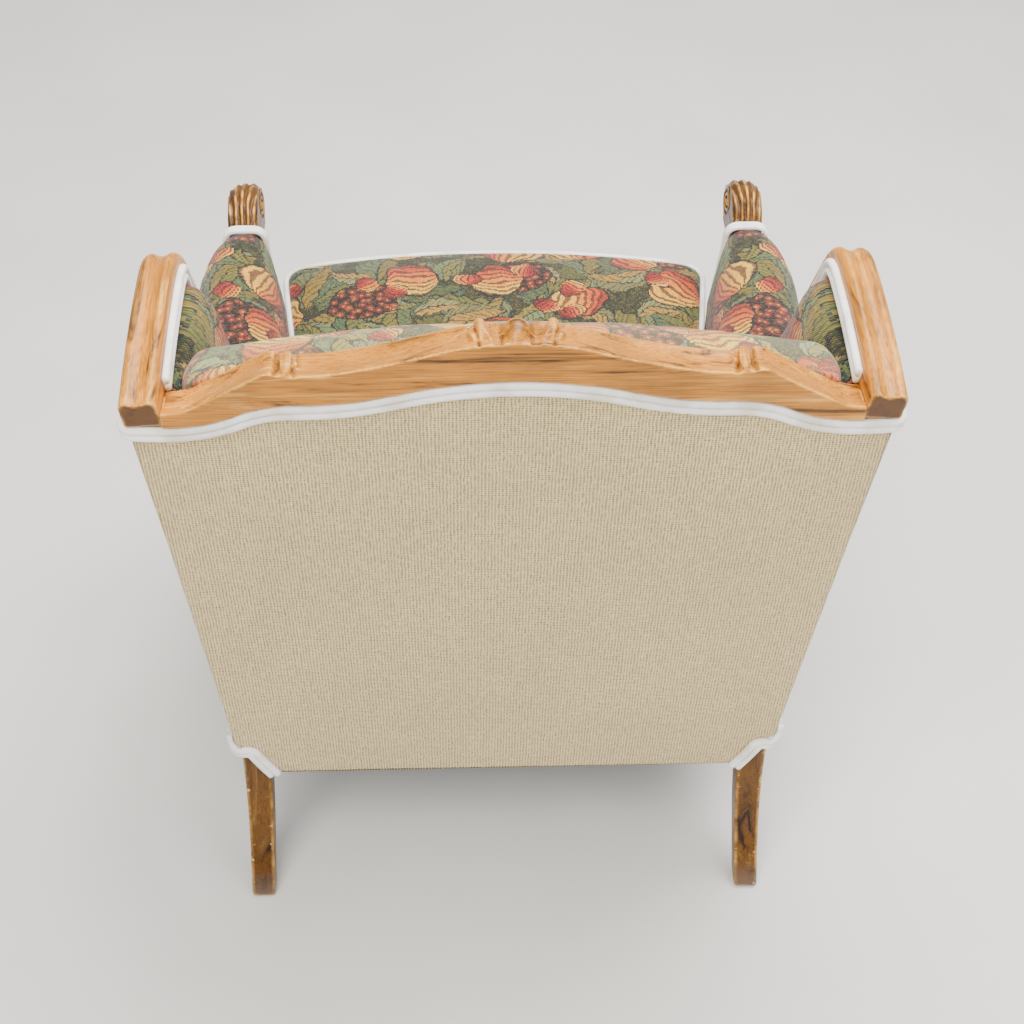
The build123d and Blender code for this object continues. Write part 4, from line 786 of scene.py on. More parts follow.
def moulded_glide():
    """Moulded polyethylene glide: grey, with scuffs from the floor."""
    material, t = blank("moulded_polyethylene")
    scuff = noise(t, solid_place(t), 320.0, 4.0)
    tone = ramp(t, scuff, (0.35, "#6E6A64"), (0.65, "#A39E96"))
    return dress(material, tone, ramp(t, scuff, (0.3, 0.45), (0.7, 0.7)), IOR=1.51)


def group(name, ins, outs):
    """New node group with its inputs and outputs."""
    tree = bpy.data.node_groups.new(name, "ShaderNodeTree")
    for way, titles in (("INPUT", ins), ("OUTPUT", outs)):
        for title in titles:
            kind = "NodeSocketVector" if title in ("Cloth", "Shift", "Local") else "NodeSocketFloat"
            tree.interface.new_socket(title, in_out=way, socket_type=kind)
    return tree


def motif_group(name):
    """Scatter of turned motifs: for a place on the cloth, where it lies inside the nearest motif."""
    t = group(name, ("Cloth", "Scale", "Shift", "Warp", "Spread"), ("Local", "Tone", "Chance"))
    given = add(t, "NodeGroupInput").node.outputs
    spot = vectors(t, "ADD", vectors(t, "SCALE", given["Cloth"], Scale=given["Scale"]), given["Shift"])
    wild = {"Vector": spot, "Scale": 2.6, "Detail": 1.0}
    wild = add(t, "TexNoise", named=wild, noise_dimensions="2D", out="Color")
    wild = vectors(t, "SCALE", vectors(t, "SUBTRACT", wild, MIDDLE), Scale=given["Warp"])
    spot = vectors(t, "ADD", spot, wild)
    cell = {"Vector": spot, "Scale": 1.0, "Randomness": given["Spread"]}
    cell = add(t, "TexVoronoi", named=cell, voronoi_dimensions="2D", out="Position")
    chance = add(t, "SeparateColor", cell.node.outputs["Color"])
    turn = {"Vector": vectors(t, "SUBTRACT", spot, cell), "Angle": maths(t, "MULTIPLY", chance, 2 * math.pi)}
    local = add(t, "VectorRotate", named=turn, rotation_type="Z_AXIS")
    add(t, "NodeGroupOutput", local, chance.node.outputs["Green"], chance.node.outputs["Blue"])
    return t


def leaf_group(motif):
    """One layer of serrated leaves: its mask, its outline, its side veins, its far half and its tone."""
    ins, outs = ("Cloth", "Scale", "Shift", "Width", "Share"), ("Mask", "Line", "Vein", "Far", "Tone")
    t = group("woven_leaf", ins, outs)
    given = add(t, "NodeGroupInput").node.outputs
    local = add(t, "Group", given["Cloth"], given["Scale"], given["Shift"], 0.2, 0.85, node_tree=motif)
    x = add(t, "SeparateXYZ", local)
    square = maths(t, "MULTIPLY", x, x)
    curve = maths(t, "MULTIPLY_ADD", square, 0.7, maths(t, "ADD", x.node.outputs["Y"], -0.07))
    off = maths(t, "ABSOLUTE", curve)
    taper = maths(t, "MULTIPLY_ADD", square, -2.9, 1.0)
    teeth = maths(t, "MULTIPLY_ADD", maths(t, "SINE", maths(t, "MULTIPLY", x, 26.0)), 0.10, 0.9)
    half = maths(t, "MULTIPLY", maths(t, "MULTIPLY", taper, teeth), given["Width"])
    inside = maths(t, "SUBTRACT", half, off)
    keep = maths(t, "LESS_THAN", local.node.outputs["Chance"], given["Share"])
    mask = maths(t, "MULTIPLY", maths(t, "GREATER_THAN", inside, 0.0), keep)
    rim, rib = maths(t, "LESS_THAN", inside, 0.024), maths(t, "LESS_THAN", off, 0.013)
    line = maths(t, "MULTIPLY", maths(t, "MAXIMUM", rim, rib), mask)
    slant = maths(t, "MULTIPLY_ADD", off, -1.3, x)
    vein = maths(t, "GREATER_THAN", maths(t, "SINE", maths(t, "MULTIPLY", slant, 44.0)), 0.72)
    far = maths(t, "GREATER_THAN", curve, 0.0)
    add(t, "NodeGroupOutput", mask, line, vein, far, local.node.outputs["Tone"])
    return t


def berry_fill(t, flat):
    """Cluster of berries: round beads, each with a gleam and a red of its own."""
    bead = {"Vector": flat, "Scale": 1.0 / BERRY, "Randomness": 0.8}
    bead = add(t, "TexVoronoi", named=bead, voronoi_dimensions="2D")
    warm = add(t, "SeparateColor", bead.node.outputs["Color"])
    skin = ramp(t, warm, (0.0, "#7A3034"), (0.4, "#A04C40"), (0.7, "#86384A"), (1.0, "#BC7840"))
    ball = ramp(t, bead, (0.0, "#FFE9B8"), (0.24, 1.0), (0.40, 0.8), (0.50, 0.14))
    return mix(t, ramp(t, bead, (0.10, 0.7), (0.17, 0.0)), times(t, skin, ball), "#E9C583")


def fruit_fill(t, flat, squat, tones):
    """Large fruit: bands of colour from the lit side to the far one, under wavering dark strokes."""
    x = add(t, "SeparateXYZ", squat)
    y = x.node.outputs["Y"]
    girth = maths(t, "MULTIPLY_ADD", maths(t, "MULTIPLY", y, y), -1.0, 1.06)
    across = maths(t, "DIVIDE", x, maths(t, "SQRT", maths(t, "MAXIMUM", girth, 0.05)))
    ruffle = noise(t, flat, 46.0, 2.0)
    sway = maths(t, "MULTIPLY_ADD", ruffle, 7.0, maths(t, "MULTIPLY", across, 23.0))
    stroke = maths(t, "GREATER_THAN", maths(t, "SINE", sway), 0.25)
    side = maths(t, "MULTIPLY_ADD", across, 0.5, maths(t, "MULTIPLY_ADD", ruffle, 0.5, 0.25))
    fill = ramp(t, side, *zip((0.1, 0.35, 0.55, 0.75, 0.95), tones))
    return mix(t, maths(t, "MULTIPLY", stroke, 0.8), fill, tones[-1])


def fruit_tapestry(fade_and_sheen=0.0):
    """Cotton tapestry, jacquard woven: fruit, berries and leaves in stepped stitches, each motif
    outlined in navy thread, with a fine rib and flecks where a thread shows through."""
    material, t = blank("cotton_tapestry" if fade_and_sheen == 0 else "pale_cotton_tapestry_with_painted_sheen")
    c, sizes = colours(), bpy.context.scene.bergere_sizes
    motif = bpy.data.node_groups.get("scattered_motif") or motif_group("scattered_motif")
    leaf = bpy.data.node_groups.get("woven_leaf") or leaf_group(motif)
    cloth = add(t, "UVMap", uv_map="cloth")
    across, up, big = sizes.stitch, sizes.stitch * 1.5, 1.0 / sizes.motif
    flat = vectors(t, "SNAP", cloth, (across, up, 1.0))
    hatch = noise(t, flat, 150.0, 1.0)
    tone = ramp(t, hatch, (0.30, c.outline), (0.42, "#434F36"), (0.66, c.ground))
    for scale, shift, width, share, tones, far_tone in LEAVES:
        mask = add(t, "Group", flat, scale * big, shift, width, share, node_tree=leaf)
        line, vein, far, pick = (mask.node.outputs[k] for k in ("Line", "Vein", "Far", "Tone"))
        fill = ramp(t, pick, *zip((0.0, 0.3, 0.55, 0.8), tones))
        fill.node.color_ramp.interpolation = "CONSTANT"
        fill = mix(t, maths(t, "MULTIPLY", far, 0.5), fill, far_tone)
        fill = mix(t, maths(t, "MULTIPLY", vein, 0.75), fill, "#2E5878")
        tone = mix(t, mask, tone, mix(t, line, fill, c.outline))
    for scale, shift, radius, share, tones in FRUITS:
        local = add(t, "Group", flat, scale * big, shift, 0.22, 0.7, node_tree=motif)
        squat = vectors(t, "MULTIPLY", local, (1.0 / radius, 1.22 / radius, 0.0))
        reach = vectors(t, "LENGTH", squat).node.outputs["Value"]
        keep = maths(t, "LESS_THAN", local.node.outputs["Chance"], share)
        mask = maths(t, "MULTIPLY", maths(t, "LESS_THAN", reach, 1.0), keep)
        fill = fruit_fill(t, flat, squat, tones) if tones else berry_fill(t, flat)
        fill = mix(t, maths(t, "GREATER_THAN", reach, 0.92), fill, c.outline)
        tone = mix(t, mask, tone, fill)
    fleck = add(t, "TexWhiteNoise", flat, noise_dimensions="2D")
    tone = times(t, tone, ramp(t, fleck, (0.0, 0.80), (1.0, 1.15)))
    show = ramp(t, fleck.node.outputs["Color"], (0.70, 0.0), (0.72, 0.32))
    tone = times(t, mix(t, show, tone, "#B9A878"), "#EEDCB8")
    # This share pales the whole cloth: partly real fading, partly a painted sheen of light on the inside back
    tone = add(t, "Gamma", tone, 1.15 if fade_and_sheen else 1.5)
    if fade_and_sheen:
        tone = mix(t, fade_and_sheen, tone, "#D6D0A4")
    rib = vectors(t, "SINE", vectors(t, "MULTIPLY", cloth, (math.pi / across, math.pi / up, 0.0)))
    u = add(t, "SeparateXYZ", rib)
    lift = maths(t, "MULTIPLY", u, u.node.outputs["Y"])
    return dress(material, tone, 0.92, (0.45, 0.0006, lift), Sheen_Weight=0.15)


def made_once(maker, *args):
    """A material that several pieces share."""
    key = (maker.__name__, *args)
    if key not in MADE:
        MADE[key] = maker(*args)
    return MADE[key]


MADE = {}


# Lines that the welts and the piping follow

EDGE_SHARES = ((0.0, 0.0), (0.305, 16.0), (0.57, 29.0), (0.71, 41.0), (0.91, 57.5), (1.0, 56.0))
EDGE_HALF = side_x(CREST_EDGE - 56.0)
WING_TURN, WING_BEND, WING_RUN = math.radians(62.0), 60.0, 184.0
REAR_BEND = WING_RUN / math.sin(2 * math.atan2(19.0, WING_RUN))
WING_DEPTH, WING_WIDTH, WING_PROUD, WING_LIP = 34.0, 36.0, 2.0, 12.0
WING_REAR_Z = 820.0
WING_CROWN_Y = BACK_AT[1] + (WING_REAR_Z - RAIL_TOP) * math.tan(LEAN) + PANEL + 6.0 - WING_RUN
CROWN_T = climb(856.0 - WING_DEPTH / 2)


def wing_line(shift, reach=0.0):
    """Sweep of the wing rail moved out by shift, from reach in front of the back posts to the arm."""
    rear_y = BACK_AT[1] + (WING_REAR_Z + shift - RAIL_TOP) * math.tan(LEAN) - reach
    turn = math.asin((rear_y - WING_CROWN_Y) / (REAR_BEND + shift))
    rear = (rear_y, CROWN_T - REAR_BEND + (REAR_BEND + shift) * math.cos(turn))
    crown = (WING_CROWN_Y, CROWN_T + shift)
    radius = WING_BEND + shift
    fall = (WING_CROWN_Y - radius * math.sin(WING_TURN), CROWN_T - WING_BEND + radius * math.cos(WING_TURN))
    drop = (fall[1] - climb(ARM_TOP)) / math.sin(WING_TURN)
    foot = (fall[0] - drop * math.cos(WING_TURN), climb(ARM_TOP))
    return [rear] + bent(rear, crown, math.pi - turn)[0] + bent(crown, fall, math.pi)[0] + [foot]


def back_stops(line, step):
    """Points on the outside back, each with the way that it faces."""
    return [np.append(on_back(u, v, -PANEL), -BACK_FRONT) for u, v in evenly(line, step)]


def crest_trim_line():
    """Line of the welt that comes up one wing, turns the corner, runs under the crest and goes down
    the other wing: its points and the way it faces at each."""
    top = CREST_EDGE - WELT_WIDTH / 2 - WELT_GAP
    marks = [(s * EDGE_HALF, rise(top - d)) for s, d in EDGE_SHARES]
    low = -WING_DEPTH / 2 - WELT_WIDTH / 2 - WELT_GAP
    back = back_stops(arc_line(marks, 0.0), 4.0)[:-2]
    wing = [np.append(on_side(y, t, 2.0), SIDE_OUT) for y, t in evenly(wing_line(low, 4.0), 4.0)]
    corner = np.append(on_back(*marks[-1], -PANEL) + 7.0 * SIDE_OUT, SIDE_OUT - BACK_FRONT)
    half = evenly(back + swing(back[-1], corner, wing[0])[1:-1] + wing, 3.0)
    other = half[:0:-1] * np.array((-1, 1, 1, -1, 1, 1))
    line = np.concatenate((other, half))
    return line[:, :3], line[:, 3:]


def leg_trim_line():
    """Line of the welt that comes down the side, turns the corner and runs round the left leg's cut-out:
    its points and the way it faces at each."""
    outer, over = side_x(CUT_OUT_Z), CUT_OUT_Z + 5.0
    inner = outer - CUT_OUT_WIDTH
    marks = ((outer - 7.0, rise(over)), (inner + 13.0, rise(over)), (inner + 2.0, rise(over - 28.0)),
             (inner - WELT_WIDTH / 2, rise(HEM_Z)))
    back = back_stops(rounded(marks, 13.0), 3.0)
    rear = BACK_AT[1] + (over - RAIL_TOP) * math.tan(LEAN) + PANEL - 5.0
    side = [np.append(on_side(rear, climb(over + up), 1.0), SIDE_OUT) for up in (28.0, 20.0, 14.0)]
    corner = np.append(on_back(outer + 1.0, rise(over), -PANEL), SIDE_OUT - BACK_FRONT)
    line = evenly(side + swing(side[-1], corner, back[0])[1:-1] + back, 3.0)
    return line[:, :3], line[:, 3:]


def arm_trim_line():
    """Line of the collar welt at the front of the left arm pad, as x and z."""
    share = (HAND_Y - CUSHION_FRONT_Y) / (CUSHION_REAR_Y - CUSHION_FRONT_Y)
    inner = CUSHION_HALF - share * (CUSHION_HALF - CUSHION_SLIM) + SIDE_INSET + 14.0
    outer, top, shoulder = side_x(ARM_SIDE_Z) - 3.5, ARM_PAD_TOP - WELT_GAP, ARM_SIDE_Z
    foot = RAIL_TOP + WELT_WIDTH
    marks = ((inner - 7.0, CUSHION_EDGE_Z + 16.0), (inner + WELT_GAP, shoulder), (inner + 2 * WELT_GAP, top),
             (outer - WELT_GAP, top), (outer, shoulder), (side_x(ARM_PAD_UNDER), ARM_PAD_UNDER),
             (side_x(foot), foot))
    return rounded(marks, 16.0)


def cushion_line():
    """Plan of the cushion's piping: eased corners and a bowed front."""
    corners = ((-CUSHION_HALF, CUSHION_FRONT_Y), (CUSHION_HALF, CUSHION_FRONT_Y),
               (CUSHION_SLIM, CUSHION_REAR_Y), (-CUSHION_SLIM, CUSHION_REAR_Y))
    plan = evenly(rounded(corners, CUSHION_CORNER, closed=True), 6.0, closed=True)
    near = 1 - ease(0, 60, plan[:, 1] - CUSHION_FRONT_Y)
    plan[:, 1] -= CUSHION_BOW * near * np.maximum(1 - (plan[:, 0] / CUSHION_HALF) ** 2, 0)
    return plan


# Carving of the show wood, as moves along the surface


def bell(x, at, width):
    """Smooth bump of height 1 at a place."""
    return np.exp(-(((x - at) / width) ** 2))


def carve_crest(mesh):
    """Cove along the top behind a raised rear edge; in the middle a knob between two curled leaves that
    dip toward it, and a barrel at each ear cut free by grooves."""
    co, n = points(mesh), facing(mesh)
    rel = co - BACK_AT
    v, w = rel @ BACK_UP, rel @ BACK_FRONT
    x, top = np.abs(co[:, 0]), rise(CREST_RIDGE)
    plain = top - CREST_FALL * (w + CREST_REAR) / CREST_THICK
    knob = 15.0 * np.exp(-((x / 11.5) ** 4)) * np.sqrt(np.clip(1 - ((w - 4.0) / 19.0) ** 2, 0, 1))
    curl = 9.0 * bell(x, 32.0, 6.5) * ease(-CREST_REAR, 2, w)
    limit = plain - 2.5 * bell(x, 19.0, 4.0) + knob + curl
    middle = (1 - ease(46, 54, x)) * ease(top - 26, top - 20, v)
    co += ((np.minimum(v, limit) - v) * middle)[:, None] * BACK_UP
    over = 1 - ease(0.35, 0.75, -n @ BACK_FRONT)
    hollow = np.cos(np.clip((w - 9.0) / 34.0, -0.5, 0.5) * math.pi)
    cove = -2.6 * ease(0.35, 0.8, n[:, 2]) * hollow * ease(46, 56, x)
    near = ease(top - 26, top - 18, v) * over
    ring = -3.6 * bell(x, 14.0, 1.8) * near
    leaf = -4.2 * bell(x - 0.24 * (w + CREST_REAR), 33.0, 1.8) * near
    leaf *= ease(-CREST_REAR - 1, -CREST_REAR + 5, w)
    eye = -5.0 * bell(x, 25.0, 2.6) * bell(w, 19.0, 4.0) * near
    brow = rise(CREST_RIDGE - EAR_DROP)
    ear = bell(x, 0.603 * EDGE_HALF, 2.2) + 0.6 * bell(x, 0.556 * EDGE_HALF, 2.2)
    notch = -3.8 * ear * ease(brow - 18, brow - 10, v) * over
    place(mesh, co + n * (cove + ring + leaf + eye + notch)[:, None])


def carve_hand(mesh):
    """Acanthus ribs over the hand-rest, a volute on each cheek and a neck above the collar."""
    co, n = points(mesh), facing(mesh)
    middle = side_x(co[:, 2]) - SIDE_INSET - HAND_WIDTH / 2
    off = co[:, 0] - middle
    along = HAND_Y - co[:, 1]
    on_hand = ease(3, 12, along)
    over = 1 - ease(0.55, 0.9, np.abs(n[:, 0]))
    fan = off / (0.72 + 0.28 * ease(20, 70, along))
    ribs = 1.5 * np.cos(2 * math.pi * fan / 10.5) - 0.6
    tips = 0.7 * np.cos(2 * math.pi * (along - 1.4 * np.abs(off)) / 24.0)
    leaf = (ribs + tips) * over * on_hand * ease(ARM_TOP - 8, ARM_TOP + 4, co[:, 2])
    dy, dz = co[:, 1] - (HAND_FRONT + 24.0), co[:, 2] - (HAND_TOP - 24.0)
    reach, spin = np.hypot(dy, dz), np.arctan2(dz, dy)
    cheek = ease(0.6, 0.9, np.abs(n[:, 0])) * on_hand
    volute = (1.6 * np.cos(2 * math.pi * reach / 8.5 - spin) - 0.8) * cheek * (1 - ease(20, 27, reach))
    arch = -7.0 * (off / (HAND_WIDTH / 2)) ** 2 * on_hand * ease(ARM_TOP, ARM_TOP + 12, co[:, 2])
    co[:, 2] += arch
    place(mesh, co + n * (leaf + volute)[:, None])


def carve_knee(mesh):
    """Shell carved on the knee of a front leg."""
    co, n = points(mesh), facing(mesh)
    side, z = np.sign(co[:, 0].mean()), co[:, 2]
    out = np.array((side, -1.0, 0.0)) / math.sqrt(2)
    across = co @ np.array((1.0, side, 0.0)) / math.sqrt(2)
    across -= across.mean()
    shell_rays = 1.1 * np.cos(np.arctan2(across, KNEE_Z - z) * 14.0) * ease(0.35, 0.8, n @ out)
    shell_rays *= ease(190, 208, z) * (1 - ease(250, 268, z))
    place(mesh, co + n * shell_rays[:, None])


def carve_apron(mesh):
    """Shell and leaf sprays carved on the front rail."""
    co, n = points(mesh), facing(mesh)
    front = ease(0.5, 0.9, -n[:, 1])
    x, z = np.abs(co[:, 0]), co[:, 2]
    up = z - APRON_Z
    reach = np.hypot(x, up)
    fan = 1.8 * np.cos(np.arctan2(x, up) * 9.0) * (1 - ease(34, 42, reach)) * ease(8, 14, reach)
    spray = 1.3 * np.cos(2 * math.pi * (x / 26.0 - (z - 225.0) / 30.0)) * ease(48, 60, x)
    spray *= (1 - ease(120, 150, x)) * (1 - ease(14, 24, np.abs(z - 228.0 - 0.05 * x)))
    place(mesh, co + n * ((fan + spray) * front)[:, None])


# How the cloth lies on each pad, in millimetres


def lie_on_back(co, n):
    """Across and up the inside back, running on over its top."""
    rel = co - BACK_AT
    return np.stack((co[:, 0], rel @ BACK_UP - rel @ BACK_FRONT), axis=1)


def lie_on_panel(co, n):
    """Across and up the outside back."""
    return np.stack((co[:, 0], (co - BACK_AT) @ BACK_UP), axis=1)


def lie_on_side(co, n):
    """Along and up a flared side."""
    return np.stack((co[:, 1], co[:, 2]), axis=1)


def lie_on_arm(co, n):
    """Along the arm and round it, from the inside wall over the top."""
    x, z = np.abs(co[:, 0]), co[:, 2]
    inner = CUSHION_HALF - (co[:, 1] - CUSHION_FRONT_Y) * 0.127 + 12.0
    off = x - (side_x(ARM_SIDE_Z) + inner) / 2
    angle = np.arctan2(off, np.maximum(z - ARM_ROLL_Z, 1e-3))
    round_it = ARM_ROLL * angle + np.where(z < ARM_ROLL_Z, np.sign(off) * (ARM_ROLL_Z - z), 0.0)
    return np.stack((co[:, 1] + 137.0, -round_it), axis=1)


def lie_on_cushion(co, n):
    """Over the top of the cushion and down its boxing."""
    drop = np.maximum(CUSHION_EDGE_Z - co[:, 2], 0.0)
    way = n[:, :2] / np.maximum(np.linalg.norm(n[:, :2], axis=1), 1e-6)[:, None]
    return co[:, :2] + way * drop[:, None] + np.array((61.0, 37.0))


def lie_on_front(co, n):
    """Across and up the deck's front border."""
    return np.stack((co[:, 0], co[:, 2] - co[:, 1]), axis=1)


def finish(piece, material):
    """Gives a frame node a material."""
    mesh = NODES[piece].data
    mesh.materials.clear()
    mesh.materials.append(material)


class Build(bpy.types.Operator):
    """Base of the operators that build the chair."""

    bl_idname = "bergere.build"
    bl_label = "Build"
    bl_options = {"REGISTER"}

    def execute(self, context):
        self.make(context.scene.bergere_sizes)
        return {"FINISHED"}


class BuildCrest(Build):
    """Crest rail with its carved middle and ears"""

    bl_idname = "bergere.crest"
    bl_label = "Crest rail"

    def make(self, sizes):
        top = rise(CREST_RIDGE - CREST_FALL / 2)
        brow = rise(CREST_RIDGE - CREST_FALL / 2 - EAR_DROP)
        buds = [egg((0.0, top + 1.0, 5.0), (11.5, 12.0, 17.0))]
        for s in (1.0, -1.0):
            buds.append(egg((s * 33.0, top - 2.0, 8.0), (10.0, 9.5, 17.0), s * 0.3))
            buds.append(egg((s * 0.580 * EDGE_HALF, brow, 5.0), (7.0, 11.0, 17.5), s * 0.3))
        mesh = handled(joined(welded("crest_rail"), *buds), 1.5, 3)
        carve_crest(mesh)
        mesh = run_through(mesh, smoothed(1))
        wood = made_once(honey_fruitwood, "honey_fruitwood_across", 0)
        new_piece("crest", mesh, CHAIR, "show_wood", wood, "crest_rail")


class BuildWingRails(Build):
    """Hollowed wing rails"""

    bl_idname = "bergere.wing_rails"
    bl_label = "Wing rails"

    def make(self, sizes):
        wood = made_once(honey_fruitwood, "honey_fruitwood_wing", 1, 1.0, 0.0, 0.93)
        for side, made in both(handled(welded("wing_rail_left"), 1.8)):
            new_piece("wing_" + side, made, CHAIR, "show_wood", wood, "wing_rail_" + side)


class BuildArms(Build):
    """Arms with carved hand-rests, and the posts under them"""

    bl_idname = "bergere.arms"
    bl_label = "Arms and posts"

    def make(self, sizes):
        mesh = handled(welded("arm_left"), 1.5)
        carve_hand(mesh)
        mesh = run_through(mesh, smoothed(1))
        post = handled(welded("arm_post_left"), 2.2)
        wood = made_once(honey_fruitwood, "honey_fruitwood_arm", 1, 0.15)
        upright = made_once(honey_fruitwood, "honey_fruitwood_upright", 2, 0.32, 0.4)
        for (side, made), (_, stand) in zip(both(mesh), both(post)):
            new_piece("hand_rest_" + side, made, CHAIR, "show_wood", wood, "arm_" + side)
            new_piece("post_" + side, stand, CHAIR, "show_wood", upright, "arm_post_" + side)


class BuildLegs(Build):
    """Swept rear legs and cabriole front legs"""

    bl_idname = "bergere.legs"
    bl_label = "Legs"

    def make(self, sizes):
        rear = handled(welded("rear_leg_left"), 2.4, 3)
        fore = handled(welded("front_leg_left"), 2.0)
        carve_knee(fore)
        # The legs' low shade of 0.17 is painted shade for their place under the seat
        wood = made_once(honey_fruitwood, "honey_fruitwood_leg", 2, 0.17, 0.8)
        for (side, back_leg), (_, front_leg) in zip(both(rear), both(fore)):
            new_piece("leg_rear_" + side, back_leg, CHAIR, "show_wood", wood, "rear_leg_" + side)
            new_piece("leg_front_" + side, front_leg, CHAIR, "show_wood", wood, "front_leg_" + side)


class BuildSeatRails(Build):
    """Carved front rail, and the finishes of the hidden frame"""

    bl_idname = "bergere.rails"
    bl_label = "Rails and hidden frame"

    def make(self, sizes):
        mesh = handled(welded("front_rail"), 2.0, 3)
        carve_apron(mesh)
        wood = made_once(honey_fruitwood, "honey_fruitwood_across", 0)
        new_piece("apron", mesh, CHAIR, "show_wood", wood, "front_rail")
        rails = [name + side for name in ("side_rail_", "side_tack_rail_") for side in SIDES]
        for node in ("rear_rail", "back_tack_rail", "corner_blocks", "frame_dowels", *rails):
            finish(node, made_once(sawn_hardwood))
        for node in ("corner_screws", "seat_springs", "back_springs", "spring_clips"):
            finish(node, made_once(oiled_wire))
        finish("leg_glides", made_once(moulded_glide))


class BuildInsideBack(Build):
    """Stuffed inside back"""

    bl_idname = "bergere.inside_back"
    bl_label = "Inside back"

    def make(self, sizes):
        mesh = stuffed("inside_back_pad", 2.0)
        cloth_map(mesh, lie_on_back)
        # The inside back's paler tapestry is partly real fading, partly painted sheen
        paled_with_sheen = made_once(fruit_tapestry, 0.1)
        pad = new_piece("inside_back", mesh, CHAIR, "tapestry", paled_with_sheen, "inside_back_pad")


class BuildWingPads(Build):
    """Stuffed wings"""

    bl_idname = "bergere.wing_pads"
    bl_label = "Wing pads"

    def make(self, sizes):
        tapestry = made_once(fruit_tapestry)
        for side, made in both(stuffed("wing_pad_left", 1.0, 9.0)):
            cloth_map(made, lie_on_side)
            pad = new_piece("wing_cover_" + side, made, CHAIR, "tapestry", tapestry, "wing_pad_" + side)


class BuildArmPads(Build):
    """Stuffed arms"""

    bl_idname = "bergere.arm_pads"
    bl_label = "Arm pads"

    def make(self, sizes):
        tapestry = made_once(fruit_tapestry)
        for side, made in both(stuffed("arm_pad_left", 1.5, 8.0)):
            cloth_map(made, lie_on_arm)
            pad = new_piece("arm_cover_" + side, made, CHAIR, "tapestry", tapestry, "arm_pad_" + side)


class BuildCushion(Build):
    """Loose seat cushion: cover, foam, two rows of piping and the zip"""

    bl_idname = "bergere.cushion"
    bl_label = "Loose cushion"

    def make(self, sizes):
        mesh = stuffed("cushion_cover", 0.0, 0.0, 2, "cushion_foam", "cushion_zip")
        cloth_map(mesh, lie_on_cushion)
        tapestry, ivory = made_once(fruit_tapestry), made_once(ivory_welt)
        pad = new_piece("seat_cover", mesh, CUSHION, "tapestry", tapestry, "cushion_cover")
        foam = handled(welded("cushion_foam"), 8.0, 3)
        cells = made_once(plain_sheet, "polyurethane_foam", "#E2D2A2", "#F2E6C4", 0.0025)
        core = new_piece("seat_foam", foam, CUSHION, "foam", cells, "cushion_foam")
        plan, section = cushion_line(), one_cord(sizes.piping * 1000)
        cover = BVHTree.FromPolygons([v.co for v in mesh.vertices], [p.vertices for p in mesh.polygons])
        for name, z, way in (("top", CUSHION_EDGE_Z, 1.0), ("bottom", CUSHION_LOW_Z, -1.0)):
            path = nestled(plan, z, way, cover, sizes.piping * 900)
            out = np.tile((0.0, 0.0, 1.0), (len(path), 1))
            cord = carried("piping", section, path, out, closed=True)
            new_piece("seat_piping_" + name, cord, CUSHION, "welt_cord", ivory, "cushion_piping_" + name)
        tape = gridded("cushion_zip", 8.0, ALONG_Y, 0.0, 0.3)
        woven = made_once(plain_sheet, "woven_zip_tape", "#8D7F5E", "#B3A582", 0.0012)
        new_piece("seat_zip", tape, CUSHION, "zip_tape", woven, "cushion_zip")


class BuildDeck(Build):
    """Sprung deck, its front border, the burlaps and the dust cover"""

    bl_idname = "bergere.deck"
    bl_label = "Deck"

    def make(self, sizes):
        border = gridded("deck_border", 10.0, -ALONG_Y, 3.0, 5.0, 12.0)
        cloth_map(border, lie_on_front)
        tapestry = made_once(fruit_tapestry)
        new_piece("border", border, CHAIR, "tapestry", tapestry, "deck_border")
        deck = handled(welded("deck_pad"), 6.0)
        decking = made_once(plain_sheet, "cotton_decking", "#B9AD8E", "#D6CCB2", 0.0016)
        new_piece("deck", deck, CHAIR, "deck_cloth", decking, "deck_pad")
        jute = made_once(plain_sheet, "jute_burlap", "#7F6540", "#B0935F", 0.0022)
        for part, normal in (("seat", (0, 0, 1)), ("back", BACK_FRONT)):
            sheet = gridded(part + "_burlap", 25.0, normal, 0.0, 0.4)
            new_piece(part + "_sacking", sheet, CHAIR, "burlap", jute, part + "_burlap")
        under = gridded("dust_cover", 22.0, (0, 0, -1), 0.0, 0.4)
        black = made_once(plain_sheet, "non_woven_dust_cloth", "#0B0B0C", "#1B1B1D", 0.0015)
        new_piece("underside", under, CHAIR, "dust_cloth", black, "dust_cover")


class BuildPanels(Build):
    """Plain outside back, arms and wings"""

    bl_idname = "bergere.panels"
    bl_label = "Outside panels"

    def make(self, sizes):
        weave = made_once(basket_weave)
        back = gridded("outside_back_panel", 9.0, -BACK_FRONT, 5.0, 4.0, 70.0)
        cloth_map(back, lie_on_panel)
        panel = new_piece("outside_back", back, CHAIR, "plain_cloth", weave, "outside_back_panel")
        for node, name in (("outside_arm_", "arm_outside_"), ("outside_wing_", "wing_outside_")):
            for side, made in both(gridded(node + "left", 9.0, SIDE_OUT, 2.5, 2.0, 40.0)):
                cloth_map(made, lie_on_side)
                new_piece(name + side, made, CHAIR, "plain_cloth", weave, node + side)


